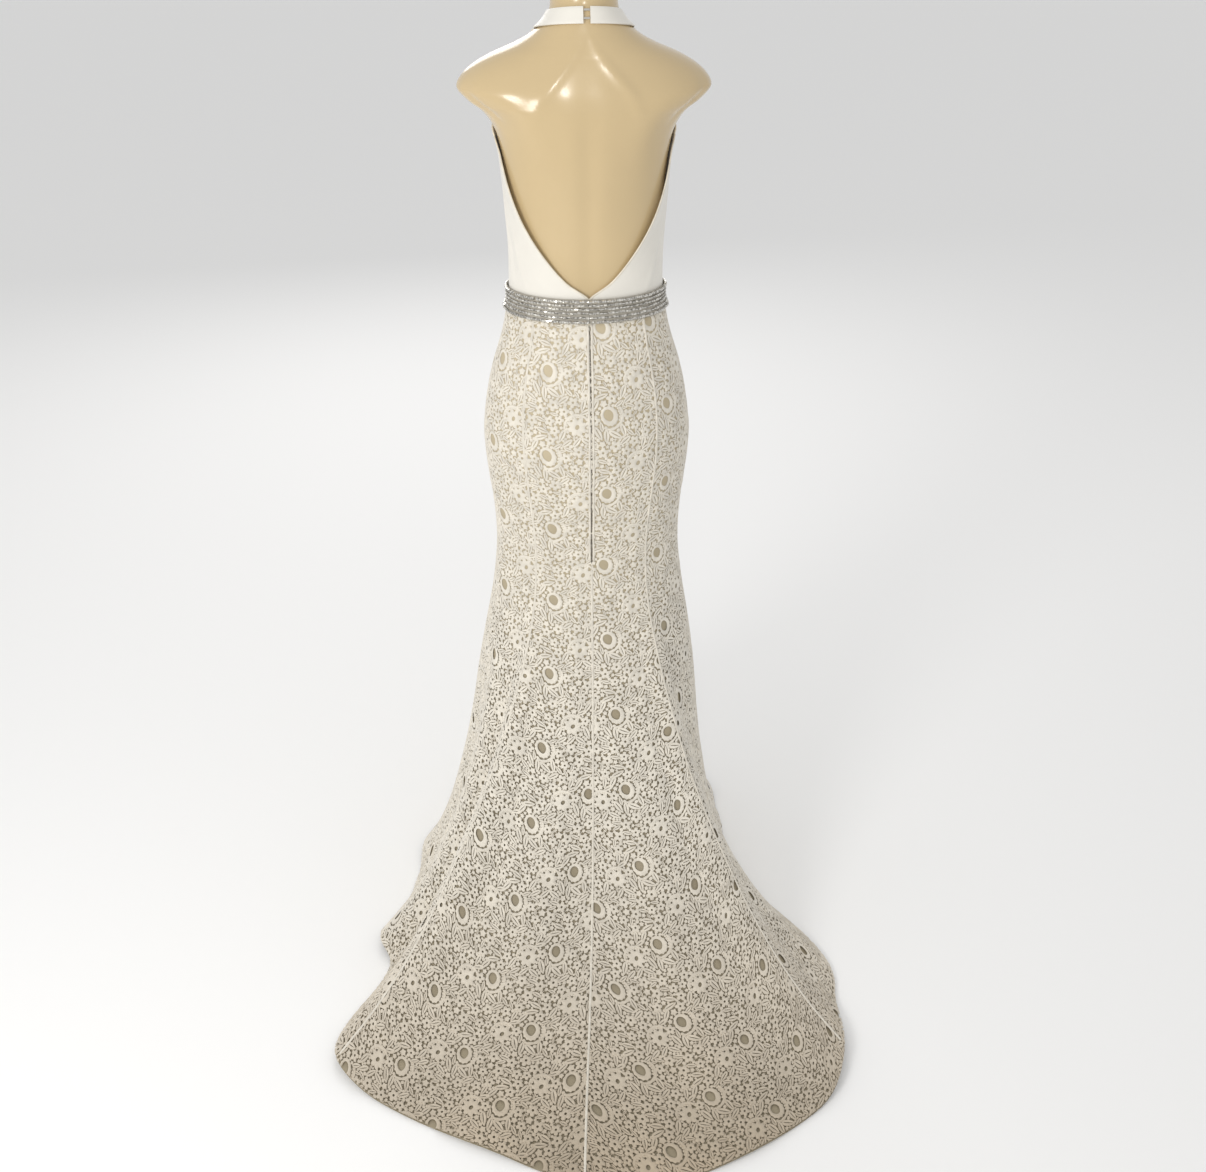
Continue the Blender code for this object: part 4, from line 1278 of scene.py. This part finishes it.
class GOWN_OT_bodice(bpy.types.Operator):
    """Build the satin bodice and the turned edge of its low back"""

    bl_idname = "gown.bodice"
    bl_label = "Bodice"

    def execute(self, context):
        material = satin_material()
        low = 0.0012 / (TORSO[1].z - TORSO[0].z)

        def back_where(side, columns, rows):
            def where(x, y, z):
                row = between(y / rows, low, BACK_PIECE_TOP_ROW)
                edge = np.maximum(edge_angle(row), 0.1)
                angle = between(x / columns, edge, SIDE_SEAM_ANGLE - 0.1)
                return torso_at(side * angle, row, between(z, SATIN_INNER, SATIN_OUTER), satin_surface)
            return where

        for name, side in (("bodice_back_left", 1), ("bodice_back_right", -1)):
            columns, rows = 48, 80
            bm = grid(columns, rows)
            thicken(bm)
            mesh = mesh_from(bm, name, back_where(side, columns, rows), uv_size=(0.003, 0.003))
            made = link(f"satin_{name}", mesh, [material])
            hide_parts(name)
        columns, rows = 120, 160
        bm = grid(columns, rows)
        thicken(bm)

        def front_where(x, y, z):
            row = between(y / rows, low, NECK_SEAM_ROW - 0.02)
            edge = np.maximum(edge_angle(row), SIDE_SEAM_ANGLE + 0.1)
            angle = between(x / columns, edge, 360 - edge)
            return torso_at(angle, row, between(z, SATIN_INNER, SATIN_OUTER), satin_surface)

        mesh = mesh_from(bm, "bodice_front", front_where, uv_size=(0.003, 0.003))
        made = link("satin_bodice_front", mesh, [material])
        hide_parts("bodice_front")
        piping = cord_material("satin_edge", (0.84, 0.78, 0.66, 1), 0.5)
        for side in (1, -1):
            row = np.linspace(0.9, BACK_PIECE_TOP_ROW, 90)
            angle = side * edge_angle(row)
            points = torso_at(angle, row, np.full(len(row), SATIN_INNER - 0.0002), satin_surface)
            out = torso_at(angle, row, np.full(len(row), 0.01), satin_surface) - points
            normals = out / np.linalg.norm(out, axis=-1, keepdims=True)
            end = "left" if side > 0 else "right"
            strip(f"back_edge_{end}", points, 0.0016, 0.0024, normals, piping)
            row = np.linspace(BACK_PIECE_TOP_ROW, NECK_SEAM_ROW - 0.1, 120)
            angle = side * np.maximum(edge_angle(row), SIDE_SEAM_ANGLE + 0.1)
            points = torso_at(angle, row, np.full(len(row), SATIN_INNER - 0.0002), satin_surface)
            out = torso_at(angle, row, np.full(len(row), 0.01), satin_surface) - points
            normals = out / np.linalg.norm(out, axis=-1, keepdims=True)
            strip(f"armhole_edge_{end}", points, 0.0014, 0.0024, normals, piping)
        return {"FINISHED"}


class GOWN_OT_neck_band(bpy.types.Operator):
    """Build the standing neck band"""

    bl_idname = "gown.neck_band"
    bl_label = "Neck Band"

    def execute(self, context):
        columns, rows = 140, 14
        bm = grid(columns, rows)
        thicken(bm)

        def where(x, y, z):
            row = between(y / rows, NECK_SEAM_ROW + 0.005, BAND_TOP_ROW)
            gap = np.degrees(BAND_BACK_GAP / 2 / smooth_column(TORSO, "side", row))
            angle = between(x / columns, gap, 360 - gap)
            edge = np.minimum(np.abs(y / rows - 0.5) * 2, 1) ** 8
            return torso_at(angle, row, between(z, BAND_INNER, BAND_OUTER - 0.0006 * edge))

        made = link(
            "satin_neck_band", mesh_from(bm, "neck_band", where, uv_size=(0.0024, 0.002)), [satin_material()]
        )
        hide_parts("neck_band")
        return {"FINISHED"}


class GOWN_OT_hooks(bpy.types.Operator):
    """Give the neck band's hooks their metal"""

    bl_idname = "gown.hooks"
    bl_label = "Hooks and Eyes"

    def execute(self, context):
        steel = steel_material("plated_hook_steel", (0.62, 0.60, 0.56, 1), 0.3)
        for node in ("hook_upper", "hook_lower"):
            coat_node(node, steel)
        return {"FINISHED"}


def belt_point(column, level, distance):
    """A point of the belt's surface at a column of the skirt's grid and a height."""
    ring = 0 * column + 0.02
    waist = skirt_base(column, 0 * column)
    flare = (SKIRT_RINGS[1].side - SKIRT_RINGS[0].side) / (SKIRT_RINGS[0].side_z - SKIRT_RINGS[1].side_z)
    below, above = np.maximum(WAIST_HEIGHT - level, 0), np.maximum(level - WAIST_HEIGHT, 0)
    normal = base_normal(column, ring)
    normal[..., 2] = 0
    normal = normal / np.linalg.norm(normal, axis=-1, keepdims=True)
    out = distance + below * flare * BELT_FLARE + above * BELT_LEAN
    points = waist + out[..., None] * normal
    points[..., 2] = level
    return points, normal


class GOWN_OT_belt(bpy.types.Operator):
    """Build the waist belt: a satin band covered by rows of bugle beads"""

    bl_idname = "gown.belt"
    bl_label = "Beaded Belt"

    def execute(self, context):
        columns, rows = 200, 12
        bm = grid(columns, rows)
        thicken(bm)
        gap = 0.0003 / 0.0142

        def where(x, y, z):
            column = between(x / columns, gap, ALL_COLUMNS - gap)
            level = BELT_TOP - BELT_HEIGHT * y / rows
            return belt_point(column, level, BELT_INNER + 0.0010 * z)[0]

        band = link(
            "belt_band", mesh_from(bm, "belt_band", where, uv_size=(0.003, 0.003)),
            [cord_material("belt_band_satin", (0.42, 0.39, 0.33, 1), 0.5)],
        )
        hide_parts("waist_belt")
        random = np.random.default_rng(5)
        one = bmesh.new()
        bmesh.ops.create_cone(one, cap_ends=True, segments=6, radius1=0.5, radius2=0.5, depth=1.0)
        bmesh.ops.rotate(one, matrix=Matrix.Rotation(math.pi / 2, 3, "Y"), verts=one.verts)
        bead = bpy.data.meshes.new("bead")
        one.to_mesh(bead)
        one.free()
        spots = np.linspace(0, ALL_COLUMNS, 4001)
        ring_points = belt_point(spots, 0 * spots + WAIST_HEIGHT, 0 * spots + BELT_INNER)[0]
        walked = np.concatenate([[0], np.cumsum(np.linalg.norm(np.diff(ring_points, axis=0), axis=-1))])
        count = sizes().bead_rows
        pitch = BELT_HEIGHT / count
        all_beads = bmesh.new()
        for number in range(count):
            round_row = number in (0, count - 1)
            length = 0.0034 if round_row else sizes().bead_length
            tall = pitch * (0.70 if round_row else 0.62)
            total = int(walked[-1] / (length * 1.04))
            for spot in range(total):
                if random.random() < 0.012:
                    continue
                at = (spot + 0.5 + (0.25 if number % 2 else 0)) / total * walked[-1]
                if at > walked[-1] - 0.001:
                    continue
                column = np.array([np.interp(at, walked, spots)])
                level = np.array([BELT_TOP - pitch * (number + 0.5) + random.normal(0, 0.00022)])
                point, normal = belt_point(column, level, np.array([BELT_INNER + 0.0010 + tall * 0.28]))
                out = Vector(normal[0])
                aside = Vector((0, 0, 1)).cross(out)
                lean = random.normal(0, 0.07)
                turn = Matrix((aside, out, (0, 0, 1))).transposed().to_4x4()
                place = Matrix.Translation(Vector(point[0])) @ turn @ Matrix.Rotation(lean, 4, "Y")
                roll = Matrix.Rotation(random.uniform(0, math.pi), 4, "X")
                shape = Matrix.Diagonal((length * 0.93, tall, tall, 1))
                before = len(all_beads.verts)
                all_beads.from_mesh(bead)
                all_beads.verts.ensure_lookup_table()
                bmesh.ops.transform(
                    all_beads, matrix=place @ roll @ shape, verts=all_beads.verts[before:]
                )
        mesh = bpy.data.meshes.new("belt_beads")
        all_beads.to_mesh(mesh)
        all_beads.free()
        made = link("belt_beads", mesh, [bead_material()])
        return {"FINISHED"}


class GOWN_OT_zip(bpy.types.Operator):
    """Give the concealed zip its coil, coloured near black as painted shade of the seam's slit, its two
    folded edges and the hanger tab above it
    """

    bl_idname = "gown.zip"
    bl_label = "Zip"

    def execute(self, context):
        # Painted shade: the coil's near-black colour stands for the shade inside the seam's slit.
        slit_shade_coil = cord_material("zip_coil", (0.10, 0.085, 0.065, 1), 0.7)
        coat_node("centre_back_zip", slit_shade_coil)
        surface = SkirtSurface()
        fold = cord_material("zip_fold", tuple(colours().lace), 0.8)
        line = np.arange(0.35, ZIP_LAST_RING - 0.1, 0.125)
        for side in (1, -1):
            points = surface.at(0 * line, line, 0 * line + LACE_GROUND + 0.0004)
            normals = surface.at(0 * line, line, 0 * line + 0.02) - surface.at(0 * line, line, 0 * line)
            normals = normals / np.linalg.norm(normals, axis=-1, keepdims=True)
            points[:, 0] += side * (0.0030 + 0.0003 * np.sin(line * 5 + side))
            strip(f"zip_fold_{'left' if side > 0 else 'right'}", points, 0.0016, 0.0016, normals, fold)
        bm = bmesh.new()
        bmesh.ops.create_cube(bm, size=1.0)
        bmesh.ops.scale(bm, vec=(0.0042, 0.0010, 0.0150), verts=bm.verts)
        bmesh.ops.bevel(
            bm, geom=bm.edges[:], offset=0.0004, segments=2, profile=0.5, affect="EDGES", material=-1
        )
        y = SKIRT_RINGS[0].back + 0.0062
        bmesh.ops.rotate(bm, matrix=Matrix.Rotation(-0.10, 3, "X"), verts=bm.verts)
        bmesh.ops.translate(bm, vec=(0.0016, y, 1.0450), verts=bm.verts)
        mesh = bpy.data.meshes.new("hanger_tab")
        bm.to_mesh(mesh)
        bm.free()
        made = link("hanger_tab", mesh, [cord_material("tab_ribbon", (0.80, 0.72, 0.55, 1), 0.5)])
        return {"FINISHED"}


class GOWN_OT_stage(bpy.types.Operator):
    """Build the floor, the soft studio lights and the camera at the photograph's angle"""

    bl_idname = "gown.stage"
    bl_label = "Stage"

    def execute(self, context):
        stage = context.scene.gown_stage
        made, tree, shader = new_material("studio_floor", colours().floor, 0.8)
        bm = bmesh.new()
        bmesh.ops.create_grid(bm, x_segments=1, y_segments=1, size=80.0)
        bmesh.ops.translate(bm, vec=(0, 0, -0.0005), verts=bm.verts)
        mesh = bpy.data.meshes.new("studio_floor")
        bm.to_mesh(mesh)
        bm.free()
        mesh.materials.append(made)
        floor = bpy.data.objects.new("studio_floor", mesh)
        context.scene.collection.objects.link(floor)

        turn = stage.camera_turn
        back = Vector((math.sin(turn), math.cos(turn), 0))
        aside = Vector((-math.cos(turn), math.sin(turn), 0))
        eye = bpy.data.cameras.new("photo_camera")
        eye.sensor_width = 36
        eye.lens = stage.lens
        camera = bpy.data.objects.new("photo_camera", eye)
        camera.location = back * stage.camera_distance + aside * stage.camera_aside
        camera.location.z = stage.camera_height
        camera.rotation_euler = (math.pi / 2 - stage.camera_pitch, 0, math.pi - turn)
        context.scene.collection.objects.link(camera)
        context.scene.camera = camera

        world = bpy.data.worlds.new("studio")
        world.use_nodes = True
        context.scene.world = world
        sky = world.node_tree.nodes["Background"]
        sky.inputs["Color"].default_value = (1.0, 1.0, 1.0, 1)
        sky.inputs["Strength"].default_value = 0.70
        lamps = [
            ("key", (1.7, 2.0, 1.45), 0.9, 26, (1.0, 0.985, 0.96)),
            ("back_glint", (0.25, 2.9, 2.3), 0.35, 9, (1.0, 0.98, 0.95)),
            ("front", (0.4, -3.0, 2.4), 2.0, 24, (1.0, 0.98, 0.96)),
        ]
        for name, at, size, power, colour in lamps:
            light = bpy.data.lights.new(name, "AREA")
            light.shape = "DISK"
            light.size = size
            light.energy = power
            light.color = colour
            lamp = bpy.data.objects.new(name, light)
            lamp.location = at
            aim = Vector((0, 0.0, 1.05)) - Vector(at)
            lamp.rotation_euler = aim.to_track_quat("-Z", "Y").to_euler()
            context.scene.collection.objects.link(lamp)
        context.scene.view_settings.view_transform = "Standard"
        return {"FINISHED"}


class GOWN_PT_panel(bpy.types.Panel):
    """Lists the pieces of the gown and its form"""

    bl_idname = "GOWN_PT_panel"
    bl_label = "Gown"
    bl_space_type = "VIEW_3D"
    bl_region_type = "UI"
    bl_category = "Gown"

    def draw(self, context):
        for piece in PIECES:
            self.layout.operator(piece.bl_idname)
        for group in (context.scene.gown_colours, context.scene.gown_sizes, context.scene.gown_stage):
            for name in group.bl_rna.properties.keys():
                if name not in ("rna_type", "name"):
                    self.layout.prop(group, name)


PIECES = [
    GOWN_OT_form,
    GOWN_OT_stand,
    GOWN_OT_lining,
    GOWN_OT_lace,
    GOWN_OT_bodice,
    GOWN_OT_neck_band,
    GOWN_OT_hooks,
    GOWN_OT_belt,
    GOWN_OT_zip,
    GOWN_OT_stage,
]
CLASSES = [GownColours, GownSizes, StageSettings] + PIECES + [GOWN_PT_panel]


def register():
    for kind in CLASSES:
        bpy.utils.register_class(kind)
    bpy.types.Scene.gown_colours = bpy.props.PointerProperty(type=GownColours)
    bpy.types.Scene.gown_sizes = bpy.props.PointerProperty(type=GownSizes)
    bpy.types.Scene.gown_stage = bpy.props.PointerProperty(type=StageSettings)


def unregister():
    for name in ("gown_colours", "gown_sizes", "gown_stage"):
        delattr(bpy.types.Scene, name)
    for kind in reversed(CLASSES):
        bpy.utils.unregister_class(kind)


def main():
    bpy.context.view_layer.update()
    register()
    for piece in PIECES:
        group, name = piece.bl_idname.split(".")
        getattr(getattr(bpy.ops, group), name)()


if __name__ == "__main__":
    main()
